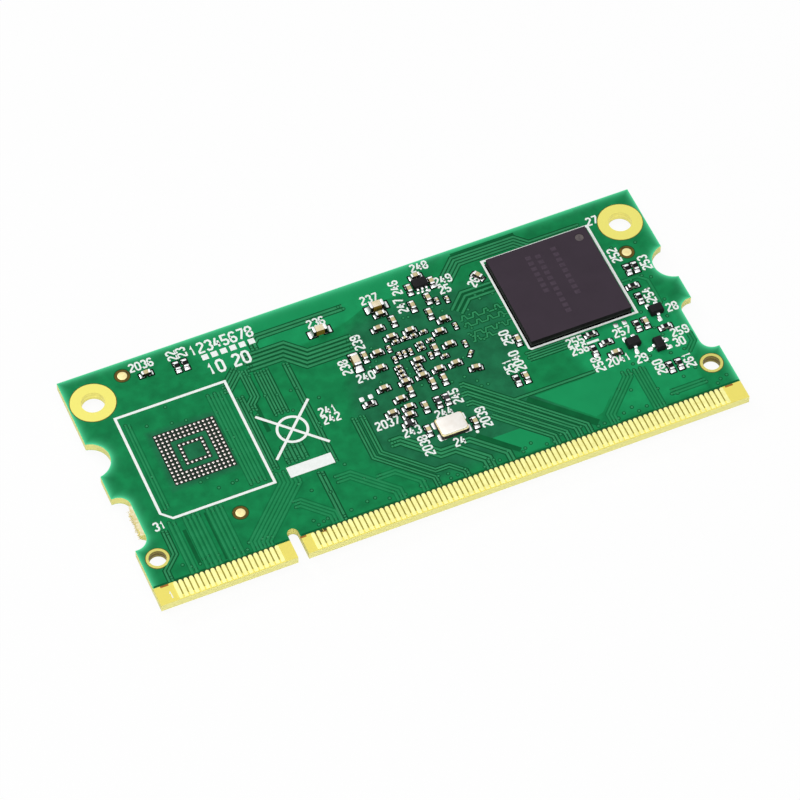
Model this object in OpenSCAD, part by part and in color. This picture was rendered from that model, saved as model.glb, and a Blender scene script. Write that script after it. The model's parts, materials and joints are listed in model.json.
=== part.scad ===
// Card-edge computer module: a coated circuit board with edge contacts, chips and small parts.
// The memory side looks up, the card edge faces -Y, and the board rests on the processor below it.

/* [Board] */
// Length of the board along its card edge
board_l = 67.6; // [66:0.1:76]
// Depth of the board from its card edge to its rear edge
board_w = 31; // [30:0.1:40]
// Thickness of the bare laminate
board_t = 1; // [0.8:0.05:1.6]
// Thickness of the green coating on each face
coat_t = 0.03; // [0.02:0.01:0.05]
// Gap around bare metal in an opening of the coating
coat_gap = 0.08; // [0.04:0.01:0.15]
// Thickness of the copper rings, contacts, dots and lands
metal_t = 0.04; // [0.02:0.01:0.08]
// Gap around a metal lining in its hole
lining_gap = 0.01; // [0.005:0.005:0.02]
// Wall of the metal lining in a hole
lining_t = 0.05; // [0.03:0.01:0.1]
// Thickness of the white print
print_t = 0.02; // [0.01:0.01:0.04]
// Width of a line in the white print
print_line = 0.3; // [0.15:0.05:0.4]

/* [Card edge] */
// Spacing of the contacts along the card edge
contact_pitch = 0.6; // [0.5:0.05:0.8]
// Width of one contact
contact_w = 0.45; // [0.3:0.01:0.48]
// Bare strip from the card edge to the coating
contact_strip = 2.3; // [1.8:0.1:3]
// Gap between a contact and the card edge
contact_setback = 0.1; // [0:0.05:0.4]
// Distance from a board end to the middle of the outermost contact
contact_margin = 2.35; // [1:0.05:4]
// How much the one short contact is set back from the coating
contact_shortfall = 0.4; // [0.1:0.1:1]
// Distance from the left end to the middle of the key notch
key_from_left = 15.95; // [12:0.05:20]
// Width of the key notch
key_w = 1.2; // [0.8:0.1:1.6]
// Depth of the key notch from the card edge
key_depth = 3.6; // [2.6:0.1:4.5]
// Distance from the middle of the key to the contact on its left
key_gap_left = 2.2; // [1.2:0.05:3]
// Distance from the middle of the key to the contact on its right
key_gap_right = 1.9; // [1.2:0.05:3]

/* [Side cuts] */
// Height of the round latch notches above the card edge
notch_from_card = 20; // [19:0.1:21]
// Radius of the round latch notches
notch_r = 2.3; // [1.5:0.1:2.6]
// How far the middle of a latch notch lies outside the board
notch_out = 0.4; // [0:0.1:1]
// Height of the middle of the long cut-outs above the card edge
cutout_from_card = 11; // [10.6:0.1:11.6]
// Length of the long cut-outs along the board's end
cutout_w = 7.1; // [5:0.1:7.6]
// Depth of the long cut-outs
cutout_depth = 1.7; // [1:0.1:2]
// Radius of the corners in the long cut-outs
cutout_r = 1.4; // [0.5:0.1:1.6]
// Length of the snapped-off panel tab in the left cut-out
tab_l = 4.2; // [2:0.1:4.6]
// How far the snapped-off panel tab stands out
tab_out = 0.5; // [0.2:0.1:0.8]

/* [Holes] */
// Diameter of the mounting holes
mount_hole_d = 2.6; // [2.2:0.1:3.2]
// Diameter of the rings around the mounting holes
mount_ring_d = 5; // [4:0.1:5.2]
// Distance from a board end to a mounting hole
mount_inset = 2.7; // [2.6:0.1:3.4]
// Distance from the rear edge to a mounting hole
mount_from_rear = 3.9; // [2.8:0.1:4.2]
// Diameter of the latch holes
latch_hole_d = 1.9; // [1.5:0.1:2]
// Diameter of the rings around the latch holes
latch_ring_d = 2.5; // [2.2:0.1:2.6]
// Distance from a board end to a latch hole
latch_inset = 1.8; // [1.6:0.1:2.4]
// Height of a latch hole above the card edge
latch_from_card = 5.65; // [4.8:0.05:5.8]

/* [Alignment dots] */
// Diameter of the bare alignment dots
dot_d = 1.15; // [0.8:0.05:1.3]
// Diameter of the coating's openings around the alignment dots
dot_open_d = 1.7; // [1.5:0.05:2]

/* [Spare chip lands] */
// Spacing of the lands
land_pitch = 0.5; // [0.45:0.05:0.8]
// Diameter of one land
land_d = 0.3; // [0.2:0.02:0.36]
// Lands along one side of the square field
land_count = 14; // [10:1:16]
// Rows of lands in the outer band
land_rows = 3; // [2:1:4]
// Length of the printed outline along the board
spare_l = 12.6; // [10:0.1:14]
// Depth of the printed outline
spare_w = 14.4; // [10:0.1:15]
// Cut corner of the printed outline
spare_cut = 1.05; // [0.5:0.05:2]

/* [Printed target] */
// Size of the crossed printed target
target_l = 6.1; // [4:0.1:6.4]
// Outer diameter of the ring in the printed target
target_ring_d = 3.6; // [2:0.1:5]
// Length of the solid bar under the target
bar_l = 5.1; // [3:0.1:6]
// Height of the solid bar under the target
bar_w = 1.4; // [0.6:0.1:1.6]

/* [Memory chip] */
// Length of the memory chip along the board
memory_l = 11.9; // [9:0.1:12.1]
// Depth of the memory chip
memory_w = 12.2; // [9:0.1:12.6]
// Thickness of the memory chip's mould
memory_cap_t = 0.55; // [0.4:0.05:0.8]
// Thickness of the memory chip's carrier
memory_carrier_t = 0.25; // [0.15:0.05:0.4]
// Height of the solder balls under the memory chip
memory_ball_h = 0.25; // [0.15:0.05:0.4]
// Diameter of the solder balls under the memory chip
memory_ball_d = 0.42; // [0.3:0.02:0.5]
// Spacing of the solder balls under the memory chip
memory_ball_pitch = 0.8; // [0.65:0.05:0.8]
// Diameter of the corner dimple in the mould
dimple_d = 1; // [0.5:0.1:1.2]
// Depth of the corner dimple in the mould
dimple_t = 0.05; // [0.02:0.01:0.1]
// Distance from the dimple's middle to the two edges of the mould
dimple_inset = 1.2; // [0.8:0.1:2]
// Gap from the chip's edge to the middle of its printed outline
outline_gap = 0.4; // [0.3:0.05:0.6]

/* [Oscillator] */
// Length of the oscillator's ceramic base
osc_l = 3.2; // [2.5:0.1:3.4]
// Depth of the oscillator's ceramic base
osc_w = 2.5; // [2:0.1:2.6]
// Thickness of the oscillator's ceramic base
osc_base_t = 0.45; // [0.3:0.05:0.6]
// Thickness of the oscillator's metal lid
osc_lid_t = 0.25; // [0.1:0.05:0.4]
// Ledge of the base around the lid
osc_ledge = 0.12; // [0.05:0.01:0.2]
// Side of one solder pad of the oscillator
osc_pad = 0.9; // [0.6:0.05:1]
// How far a pad reaches past the base
osc_reach = 0.3; // [0.1:0.05:0.35]

/* [Leaded packages] */
// Thickness of a lead
lead_t = 0.12; // [0.08:0.01:0.15]
// Gap between the board and a leaded body
lead_standoff = 0.08; // [0.05:0.01:0.15]
// Length of a transistor's body along its row of leads
transistor_l = 1.6; // [1.4:0.1:1.9]
// Depth of a transistor's body
transistor_w = 1.1; // [0.9:0.1:1.3]
// Height of a transistor's body
transistor_h = 0.85; // [0.7:0.05:1]
// Distance across a transistor's leads, toe to toe
transistor_span = 2.4; // [2.1:0.1:2.5]
// Spacing of a transistor's paired leads
transistor_pitch = 1; // [0.8:0.05:1.2]
// Width of a transistor's lead
transistor_lead_w = 0.34; // [0.2:0.02:0.4]
// Length of the small chip's body
regulator_l = 1.7; // [1.5:0.1:1.8]
// Depth of the small chip's body
regulator_w = 1.2; // [1:0.1:1.3]
// Height of the small chip's body
regulator_h = 0.7; // [0.5:0.05:0.9]
// Distance across the small chip's leads, toe to toe
regulator_span = 1.75; // [1.6:0.05:1.8]
// Spacing of the small chip's leads
regulator_pitch = 0.5; // [0.4:0.05:0.6]
// Width of the small chip's lead
regulator_lead_w = 0.22; // [0.15:0.01:0.28]
// Side of the storage chip's square body
storage_l = 5.2; // [4.8:0.1:5.6]
// Height of the storage chip's body
storage_h = 0.95; // [0.8:0.05:1]
// Distance across the storage chip's leads, toe to toe
storage_span = 7.9; // [7.2:0.1:8.4]
// Spacing of the storage chip's leads
storage_pitch = 1.27; // [1:0.01:1.27]
// Width of the storage chip's lead
storage_lead_w = 0.42; // [0.3:0.02:0.5]

/* [Small parts] */
// Thickness of a solder pad under a small part
pad_t = 0.03; // [0.02:0.01:0.05]
// How far a solder pad is wider than its part, on each side
pad_side = 0.04; // [0.02:0.01:0.08]
// Share of a part's height that its solder climbs
solder_climb = 0.6; // [0.3:0.05:0.9]
// Length of a large capacitor
large_l = 1.6; // [1.4:0.1:1.8]
// Width of a large capacitor
large_w = 0.8; // [0.6:0.05:0.9]
// Height of a large capacitor
large_h = 0.8; // [0.5:0.05:1]
// Length of a large capacitor's metal ends
large_end = 0.32; // [0.2:0.02:0.4]
// How far a large capacitor's solder reaches past its end
large_reach = 0.5; // [0.3:0.05:0.55]
// Length of a small capacitor, resistor or bead
small_l = 1; // [0.9:0.05:1.1]
// Width of a small capacitor, resistor or bead
small_w = 0.5; // [0.4:0.05:0.55]
// Height of a small capacitor or bead
small_h = 0.5; // [0.4:0.05:0.6]
// Length of the metal ends of a small part
small_end = 0.24; // [0.15:0.01:0.3]
// How far a small part's solder reaches past its end
small_reach = 0.26; // [0.15:0.01:0.28]
// Height of a resistor
resistor_h = 0.35; // [0.25:0.05:0.5]
// Thickness of the black glaze on a resistor
glaze_t = 0.05; // [0.03:0.01:0.08]
// Length of a tiny capacitor
tiny_l = 0.6; // [0.55:0.01:0.64]
// Width of a tiny capacitor
tiny_w = 0.3; // [0.25:0.01:0.34]
// Height of a tiny capacitor
tiny_h = 0.3; // [0.25:0.01:0.36]
// Length of a tiny capacitor's metal ends
tiny_end = 0.15; // [0.1:0.01:0.2]
// How far a tiny capacitor's solder reaches past its end
tiny_reach = 0.14; // [0.08:0.01:0.16]
// Length of a coil block
coil_l = 2.5; // [2:0.1:3]
// Width of a coil block
coil_w = 2; // [1.6:0.1:2.4]
// Height of a coil block
coil_h = 1; // [0.8:0.05:1.05]
// Length of a coil block's metal ends
coil_end = 0.5; // [0.3:0.05:0.6]

/* [Processor] */
// Side of the processor's square carrier
processor_l = 14; // [12:0.1:15]
// Thickness of the processor's carrier
processor_carrier_t = 0.35; // [0.25:0.05:0.5]
// Thickness of the processor's mould
processor_cap_t = 0.6; // [0.55:0.05:0.9]
// Ledge of the carrier around the mould
processor_ledge = 0.3; // [0.1:0.05:0.8]
// Height of the solder balls under the processor
processor_ball_h = 0.3; // [0.25:0.05:0.4]
// Diameter of the solder balls under the processor
processor_ball_d = 0.42; // [0.3:0.02:0.5]
// Spacing of the solder balls under the processor
processor_ball_pitch = 0.8; // [0.65:0.05:0.8]
// Solder balls along one side of the processor
processor_ball_count = 16; // [12:1:17]
// Rows of solder balls around the processor
processor_ball_rows = 3; // [2:1:5]

/* [Leadless chips] */
// Side of the power chip
power_l = 6; // [5:0.1:6.4]
// Side of the interface chip
interface_l = 5; // [4:0.1:5.6]
// Height of the leadless chips
leadless_h = 0.85; // [0.6:0.05:1]
// Spacing of the lands of the leadless chips
leadless_pitch = 0.5; // [0.4:0.05:0.65]
// Width of a land of the leadless chips
leadless_land_w = 0.25; // [0.18:0.01:0.3]
// Length of a land of the leadless chips
leadless_land_l = 0.5; // [0.3:0.05:0.6]
// How far a land shows past the chip's side
leadless_reach = 0.12; // [0.05:0.01:0.2]

/* [Hidden] */
$fn = 48;

// Heights of the stack: the processor's face is at zero
lower_z = processor_ball_h + processor_carrier_t + processor_cap_t;
board_z = lower_z + coat_t;
board_top_z = board_z + board_t;
upper_z = board_top_z + coat_t;

// Edges of the board, and the zones that small parts are placed from: a datum and its direction
card_y = -board_w / 2;
rear_y = board_w / 2;
left_zone = [-board_l / 2, 1];
centre_zone = [0, 1];
right_zone = [board_l / 2, -1];

// Each spot is a distance from the zone's datum, a distance from the rear edge and an angle
function in_zone(zone, spots) = [for (p = spots) [zone[0] + zone[1] * p[0], rear_y - p[1], p[2]]];

// Card edge
key_x = key_from_left - board_l / 2;
contact_l = contact_strip - contact_setback;
count_slack = 1.001;
left_count = floor((key_from_left - key_gap_left - contact_margin) / contact_pitch + count_slack);
right_count = floor((board_l - key_from_left - key_gap_right - contact_margin) / contact_pitch
    + count_slack);
short_contact = 2;
left_contacts = [for (i = [0 : left_count - 1]) key_x - key_gap_left - i * contact_pitch];
right_contacts = [for (i = [0 : right_count - 1]) key_x + key_gap_right + i * contact_pitch];

// Side cuts
corner_room = 0.05;
cutout_round = min(cutout_r, cutout_depth - corner_room, cutout_w / 2 - corner_room);
tab_bevel = 0.4;
tab_lean = 0.15;

// Holes
mount_spots = [for (side = [-1, 1]) [side * (board_l / 2 - mount_inset), rear_y - mount_from_rear]];
latch_spots = [for (side = [-1, 1]) [side * (board_l / 2 - latch_inset), card_y + latch_from_card]];

// Alignment dots, the spare chip, the target and the chips on the upper face
dot_spots = concat(in_zone(left_zone, [[6.85, 1.8, 0], [11.9, 23.4, 0]]),
    in_zone(right_zone, [[3.8, 8, 0]]));
spare_spot = in_zone(left_zone, [[10.4, 14.05, 0]]);
target_spot = in_zone(left_zone, [[21, 15.6, 0]]);
bar_gap = 1.35;
bar_drop = (target_l + bar_w) / 2 + bar_gap;
outline_l = memory_l + 2 * outline_gap;
outline_w = memory_w + 2 * outline_gap;
outline_middle = 12.65;
outline_front = 15.95;
outline_at = [outline_middle, outline_front - outline_w / 2];
memory_off = [0.2, 0.25];
outline_spot = in_zone(right_zone, [[outline_at[0], outline_at[1], 0]]);
memory_spot = in_zone(right_zone, [[outline_at[0] + memory_off[0], outline_at[1] + memory_off[1], 0]]);
left_of_memory = [board_l / 2 - outline_middle - outline_l / 2, -1];
right_of_memory = [board_l / 2 - outline_middle + outline_l / 2, 1];
memory_outline_cut = 0.15;
least_cut = 0.01;
print_dash_spot = in_zone(right_zone, [[12.35, 17.7, 0]]);
print_dash_l = 1.4;
oscillator_spot = in_zone(centre_zone, [[2.9, 22.05, 0]]);
regulator_spot = in_zone(centre_zone, [[7.25, 3.25, 0]]);
transistor_spots = in_zone(right_zone, [[4.4, 16.75, 0], [8.55, 19.8, 0], [6.05, 21.1, -90]]);

// Memory balls: two banks of columns, counted from the middle of the chip
memory_ball_columns = [-5, -4, -3, 3, 4, 5];
memory_ball_rows = 10;

// Small parts on the upper face
large_spots = in_zone(centre_zone, [[-5.2, 4.8, 0], [1.75, 4.2, 0], [-3.2, 10.2, 90]]);
capacitor_spots = concat(
    in_zone(left_zone, [[9.3, 2.65, 0]]),
    in_zone(centre_zone, [
        [7.3, 2, 0], [5.95, 3.4, 90], [8.6, 3.4, 90], [1.75, 5.25, 0], [7.35, 5.3, 90],
        [5.4, 5.65, 90], [2.65, 6.65, 90], [0.75, 7, 0], [6.7, 7.3, 90], [1.6, 8.6, 0],
        [3.8, 8.6, 0], [7.8, 8.65, 0], [-2.05, 9.9, 90], [-0.6, 10, 0], [6.7, 10, 0],
        [5.35, 11.95, 90], [-1.1, 12, 0], [7, 12, 0], [3.05, 12.6, 0], [4.65, 14.6, 0],
        [6.6, 14.6, 0], [-1.8, 14.65, 0], [2.7, 14.7, 0], [0.7, 14.75, 0], [0.7, 16, 90],
        [3.3, 16, 90], [4.65, 16, 90], [8.4, 16, -8], [-0.7, 16.65, 0], [-0.3, 17.95, 0],
        [-2.25, 18, 0], [1.35, 18.6, 90], [-0.65, 18.95, 0], [0.4, 21.6, 90], [5.4, 22.55, 90]]),
    in_zone(left_of_memory, [[1.2, 4.65, -56], [0.75, 14.35, 90]]),
    in_zone(right_zone, [[6.05, 17.7, 90], [20.95, 19.25, 90], [10.8, 20.15, 0]]));
tiny_spots = in_zone(centre_zone, [
    [8.15, 5.95, 90], [9.25, 6.2, 90], [1.8, 9.35, 0], [2.9, 9.3, 0], [3.9, 9.35, 0],
    [5.1, 9.3, 0], [0.8, 9.9, 90], [8.65, 9.9, 90], [4.05, 10.6, 0], [5.35, 10.6, 0],
    [4.05, 11.25, 0], [1.5, 11.15, 90], [2.1, 11.15, 90], [2.8, 11.15, 90], [0.85, 11.5, 90],
    [4.6, 12.5, 90], [8.65, 12.5, 90], [0.75, 12.65, 0], [5.95, 13.2, 0], [0.75, 13.3, 0],
    [2.75, 13.3, 0], [0.75, 13.9, 0], [2.75, 13.9, 0], [8.65, 13.95, 50]]);
resistor_spots = concat(
    in_zone(left_zone, [[12.7, 3.1, 90], [13.65, 3.1, 90]]),
    in_zone(centre_zone, [[-4, 15.9, 0]]),
    in_zone(right_of_memory, [[2.45, 10.3, 90], [1.55, 10.3, 90], [1.05, 12.6, 0], [1.05, 14.4, 90]]),
    in_zone(right_zone, [
        [12.2, 16.8, 0], [7.05, 17.7, 90], [11.1, 18.45, 0], [12.75, 18.9, 90], [4.3, 19.05, 0],
        [22, 19.25, 90], [5.05, 24.15, 90], [6.1, 24.15, 90]]));
bead_spots = in_zone(centre_zone, [[2.85, 18.55, 90], [3.85, 18.55, 90], [-1.1, 19.95, 0]]);
bare_pad_spots = concat(in_zone(centre_zone, [[-4, 14.95, 0]]), in_zone(right_zone, [[8.65, 16.7, 0]]));

// Parts on the lower face, with rows of capacitors beside the processor and the power chip
processor_at = [2.5, 12.5];
power_at = [20, 10];
coil_at = [12.4, 6.5];
coil_pitch = 4.5;
row_pitch = 2;
row_gap = 2.1;
row_half = 3;
resistor_row_clear = 3.2;
resistor_row_at = [-18, board_w - contact_strip - resistor_row_clear];
resistor_row_pitch = 1.2;
processor_row_d = processor_l / 2 + row_gap;
processor_spot = in_zone(centre_zone, [[processor_at[0], processor_at[1], 0]]);
power_spot = in_zone(left_zone, [[power_at[0], power_at[1], 0]]);
interface_spot = in_zone(right_zone, [[12, 9, 0]]);
storage_spot = in_zone(right_zone, [[14, 20.5, 0]]);
coil_spots = in_zone(left_zone, [for (i = [0 : 2]) [coil_at[0], coil_at[1] + coil_pitch * i, 90]]);
lower_capacitor_spots = concat(
    in_zone(centre_zone, [for (side = [-1, 1], i = [-row_half : row_half])
        [processor_at[0] + row_pitch * i, processor_at[1] + side * processor_row_d, 0]]),
    in_zone(left_zone, [for (i = [-1 : 1])
        [power_at[0] + row_pitch * i, power_at[1] + power_l / 2 + row_gap, 90]]));
lower_resistor_spots = in_zone(centre_zone, [for (i = [0 : 7])
    [resistor_row_at[0] + resistor_row_pitch * i, resistor_row_at[1], 90]]);

// Small parts by kind: length, width, height, length of the ends and reach of the solder
large_chip = [large_l, large_w, large_h, large_end, large_reach];
small_chip = [small_l, small_w, small_h, small_end, small_reach];
tiny_chip = [tiny_l, tiny_w, tiny_h, tiny_end, tiny_reach];
resistor_chip = [small_l, small_w, resistor_h, small_end, small_reach];
coil_chip = [coil_l, coil_w, coil_h, coil_end, small_reach];

// Leaded bodies by kind: length, depth, height, span and width of the leads
transistor_kind = [transistor_l, transistor_w, transistor_h, transistor_span, transistor_lead_w];
regulator_kind = [regulator_l, regulator_w, regulator_h, regulator_span, regulator_lead_w];
storage_kind = [storage_l, storage_l, storage_h, storage_span, storage_lead_w];
knee_share = 0.4;

// Colours
laminate_colour = "#d8cc5a";
coat_colour = "#1a8a4e";
gold_colour = "#f2e46a";
contact_colour = "#f7eda0";
print_colour = "#f4f8f2";
mould_colour = "#43363f";
carrier_colour = "#2c4a34";
solder_colour = "#d9dadb";
ceramic_colour = "#b79a6c";
alumina_colour = "#eceae2";
glaze_colour = "#1b1a1c";
ferrite_colour = "#3d3a3c";
lid_colour = "#efe9dc";

// Places its children on the upper face of the coating
module on_upper() {
    translate([0, 0, upper_z])
        children();
}

// Places its children on the lower face, with their up direction facing down
module on_lower() {
    translate([0, 0, lower_z])
        mirror([0, 0, 1])
            children();
}

module at_spots(spots) {
    for (p = spots)
        translate([p[0], p[1], 0])
            rotate(p[2])
                children();
}

// Outline of a long cut-out, centred on the board's end
module cutout_2d() {
    square([2 * (cutout_depth - cutout_round), cutout_w], center = true);
    square([2 * cutout_depth, cutout_w - 2 * cutout_round], center = true);
    for (x = [-1, 1], y = [-1, 1])
        translate([x * (cutout_depth - cutout_round), y * (cutout_w / 2 - cutout_round)])
            circle(r = cutout_round);
}

module key_2d() {
    translate([key_x - key_w / 2, card_y - key_w])
        square([key_w, key_depth + key_w / 2]);
    translate([key_x, card_y + key_depth - key_w / 2])
        circle(d = key_w);
}

// Board outline with its side cuts and key notch, without holes
module outline_2d() {
    difference() {
        square([board_l, board_w], center = true);
        key_2d();
        for (side = [-1, 1]) {
            translate([side * (board_l / 2 + notch_out), card_y + notch_from_card])
                circle(r = notch_r);
            translate([side * board_l / 2, card_y + cutout_from_card])
                cutout_2d();
        }
    }
}

// Rough stub left in the cut-out where the board was snapped from its panel
module tab_2d() {
    inner_x = cutout_depth - board_l / 2;
    middle_y = card_y + cutout_from_card;
    half = tab_l / 2;
    outer_x = inner_x - tab_out;
    root_x = inner_x + tab_out;
    polygon([[root_x, middle_y + half], [inner_x, middle_y + half],
        [outer_x + tab_lean, middle_y + half - tab_bevel], [outer_x, middle_y + tab_bevel - half],
        [inner_x, middle_y - half], [root_x, middle_y - half]]);
}

module laminate_board() {
    wall = lining_t + lining_gap;
    color(laminate_colour)
        translate([0, 0, board_z])
            difference() {
                linear_extrude(board_t) {
                    outline_2d();
                    tab_2d();
                }
                for (p = mount_spots)
                    translate([p[0], p[1], -board_t])
                        cylinder(d = mount_hole_d + 2 * wall, h = 3 * board_t);
                for (p = latch_spots)
                    translate([p[0], p[1], -board_t])
                        cylinder(d = latch_hole_d + 2 * wall, h = 3 * board_t);
            }
}

// Coating of one face, open at the contact strip and around the rings
module coating_2d() {
    difference() {
        outline_2d();
        translate([-board_l, card_y - board_w])
            square([2 * board_l, board_w + contact_strip]);
        for (p = mount_spots)
            translate(p)
                circle(d = mount_ring_d + 2 * coat_gap);
        for (p = latch_spots)
            translate(p)
                circle(d = latch_ring_d + 2 * coat_gap);
    }
}

module upper_coating() {
    color(coat_colour)
        translate([0, 0, board_top_z])
            linear_extrude(coat_t)
                difference() {
                    coating_2d();
                    at_spots(dot_spots)
                        circle(d = dot_open_d);
                }
}

module lower_coating() {
    color(coat_colour)
        translate([0, 0, lower_z])
            linear_extrude(coat_t)
                coating_2d();
}

// One contact from the setback line up to the coating
module contact(x, shortfall) {
    translate([x - contact_w / 2, card_y + contact_setback, 0])
        cube([contact_w, contact_l - shortfall, metal_t]);
}

module upper_contacts() {
    color(contact_colour)
        translate([0, 0, board_top_z]) {
            for (x = left_contacts)
                contact(x, 0);
            for (i = [0 : right_count - 1])
                contact(right_contacts[i], i == short_contact ? contact_shortfall : 0);
        }
}

module lower_contacts() {
    color(contact_colour)
        translate([0, 0, board_z - metal_t])
            for (x = concat(left_contacts, right_contacts))
                contact(x, 0);
}

// Metal lining of a hole with a ring on each face
module lining(hole_d, ring_d) {
    inner = hole_d / 2;
    outer = inner + lining_t;
    ring = ring_d / 2;
    rotate_extrude()
        polygon([[inner, -metal_t], [ring, -metal_t], [ring, 0], [outer, 0], [outer, board_t],
            [ring, board_t], [ring, board_t + metal_t], [inner, board_t + metal_t]]);
}

module mounting_hole_linings() {
    color(gold_colour)
        for (p = mount_spots)
            translate([p[0], p[1], board_z])
                lining(mount_hole_d, mount_ring_d);
}

module latch_hole_linings() {
    color(gold_colour)
        for (p = latch_spots)
            translate([p[0], p[1], board_z])
                lining(latch_hole_d, latch_ring_d);
}

module alignment_dots() {
    color(gold_colour)
        translate([0, 0, board_top_z])
            at_spots(dot_spots)
                cylinder(d = dot_d, h = metal_t);
}

// Ring that a grid place belongs to, counted from the outside of a square field
function grid_ring(i, j, count) = min(i, j, count - 1 - i, count - 1 - j);

module spare_chip_lands() {
    middle = (land_count - 1) / 2;
    color(solder_colour)
        on_upper()
            at_spots(spare_spot)
                for (i = [0 : land_count - 1], j = [0 : land_count - 1]) {
                    ring = grid_ring(i, j, land_count);
                    if (ring < land_rows || ring == land_rows + 1)
                        translate([(i - middle) * land_pitch, (j - middle) * land_pitch, 0])
                            cylinder(d = land_d, h = metal_t, $fn = 24);
                }
}

// Frame of printed lines, measured to the middle of its lines, with one cut corner
module printed_frame(l, w, cut) {
    half = print_line / 2;
    diagonal = half * tan(22.5) * 2;
    linear_extrude(print_t)
        difference() {
            cut_corner_2d(l / 2 + half, w / 2 + half, cut + diagonal);
            cut_corner_2d(l / 2 - half, w / 2 - half, max(cut - diagonal, least_cut));
        }
}

module cut_corner_2d(x, y, cut) {
    polygon([[cut - x, -y], [x, -y], [x, y], [-x, y], [-x, cut - y]]);
}

module printed_outlines() {
    color(print_colour)
        on_upper() {
            at_spots(spare_spot)
                printed_frame(spare_l, spare_w, spare_cut);
            at_spots(outline_spot)
                printed_frame(outline_l, outline_w, memory_outline_cut);
            at_spots(print_dash_spot)
                translate([-print_dash_l / 2, -print_line / 2, 0])
                    cube([print_dash_l, print_line, print_t]);
        }
}

// Two crossed lines with a ring, and a solid bar below them
module printed_target() {
    cross_l = target_l * sqrt(2);
    color(print_colour)
        on_upper()
            at_spots(target_spot)
                linear_extrude(print_t) {
                    for (turn = [45, -45])
                        rotate(turn)
                            square([cross_l, print_line], center = true);
                    difference() {
                        circle(d = target_ring_d);
                        circle(d = target_ring_d - 2 * print_line);
                    }
                    translate([0, -bar_drop])
                        square([bar_l, bar_w], center = true);
                }
}

module memory_balls() {
    middle = (memory_ball_rows - 1) / 2;
    color(solder_colour)
        on_upper()
            at_spots(memory_spot)
                for (i = memory_ball_columns, j = [0 : memory_ball_rows - 1])
                    translate([i * memory_ball_pitch, (j - middle) * memory_ball_pitch, 0])
                        cylinder(d = memory_ball_d, h = memory_ball_h, $fn = 24);
}

module memory_carrier() {
    color(carrier_colour)
        on_upper()
            at_spots(memory_spot)
                translate([-memory_l / 2, -memory_w / 2, memory_ball_h])
                    cube([memory_l, memory_w, memory_carrier_t]);
}

module memory_cap() {
    color(mould_colour)
        on_upper()
            at_spots(memory_spot)
                translate([0, 0, memory_ball_h + memory_carrier_t])
                    difference() {
                        translate([-memory_l / 2, -memory_w / 2, 0])
                            cube([memory_l, memory_w, memory_cap_t]);
                        translate([memory_l / 2 - dimple_inset, memory_w / 2 - dimple_inset,
                            memory_cap_t - dimple_t])
                            cylinder(d = dimple_d, h = 2 * dimple_t);
                    }
}

module oscillator_pads() {
    x = osc_l / 2 + osc_reach - osc_pad / 2;
    y = osc_w / 2 + pad_side - osc_pad / 2;
    color(solder_colour)
        on_upper()
            at_spots(oscillator_spot)
                for (i = [-1, 1], j = [-1, 1])
                    translate([i * x, j * y, pad_t / 2])
                        cube([osc_pad, osc_pad, pad_t], center = true);
}

module oscillator_base() {
    color(alumina_colour)
        on_upper()
            at_spots(oscillator_spot)
                translate([-osc_l / 2, -osc_w / 2, pad_t])
                    cube([osc_l, osc_w, osc_base_t]);
}

module oscillator_lid() {
    l = osc_l - 2 * osc_ledge;
    w = osc_w - 2 * osc_ledge;
    color(lid_colour)
        on_upper()
            at_spots(oscillator_spot)
                translate([-l / 2, -w / 2, pad_t + osc_base_t])
                    cube([l, w, osc_lid_t]);
}

module leaded_body(kind) {
    translate([-kind[0] / 2, -kind[1] / 2, lead_standoff])
        cube([kind[0], kind[1], kind[2]]);
}

// Bent lead that leaves the rear side of a leaded body and stands on the board
module lead(kind) {
    side = kind[1] / 2;
    toe = kind[3] / 2;
    knee = side + max(knee_share * (toe - side), lead_t);
    exit_z = lead_standoff + kind[2] / 2;
    rotate([90, 0, 90])
        linear_extrude(kind[4], center = true)
            polygon([[side, exit_z - lead_t], [knee - lead_t, exit_z - lead_t], [knee - lead_t, 0],
                [toe, 0], [toe, lead_t], [knee, lead_t], [knee, exit_z], [side, exit_z]]);
}

// Rows of leads on the rear and front sides, each given as offsets along the body
module lead_rows(kind, rear, front) {
    for (x = rear)
        translate([x, 0, 0])
            lead(kind);
    for (x = front)
        translate([x, 0, 0])
            mirror([0, 1, 0])
                lead(kind);
}

module regulator_body() {
    color(glaze_colour)
        on_upper()
            at_spots(regulator_spot)
                leaded_body(regulator_kind);
}

module regulator_leads() {
    row = [-regulator_pitch, 0, regulator_pitch];
    color(solder_colour)
        on_upper()
            at_spots(regulator_spot)
                lead_rows(regulator_kind, row, row);
}

module transistor_bodies() {
    color(glaze_colour)
        on_upper()
            at_spots(transistor_spots)
                leaded_body(transistor_kind);
}

module transistor_leads() {
    color(solder_colour)
        on_upper()
            at_spots(transistor_spots)
                lead_rows(transistor_kind, [-transistor_pitch / 2, transistor_pitch / 2], [0]);
}

// Body of a small part, between its metal ends
module chip_body(chip, height) {
    translate([0, 0, pad_t + height / 2])
        cube([chip[0] - 2 * chip[3], chip[1], height], center = true);
}

module chip_ends(chip) {
    for (side = [-1, 1])
        translate([side * (chip[0] - chip[3]) / 2, 0, pad_t + chip[2] / 2])
            cube([chip[3], chip[1], chip[2]], center = true);
}

// Solder under and outside both ends of a small part, drawn as a profile along its length
module chip_solder(chip) {
    inner = chip[0] / 2 - chip[3];
    face = chip[0] / 2;
    outer = face + chip[4];
    top = pad_t + solder_climb * chip[2];
    for (flip = [0, 1])
        mirror([flip, 0, 0])
            rotate([90, 0, 0])
                linear_extrude(chip[1] + 2 * pad_side, center = true)
                    polygon([[inner, 0], [outer, 0], [outer, pad_t], [face, top], [face, pad_t],
                        [inner, pad_t]]);
}

module large_capacitor_bodies() {
    color(ceramic_colour)
        on_upper()
            at_spots(large_spots)
                chip_body(large_chip, large_h);
}

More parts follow.
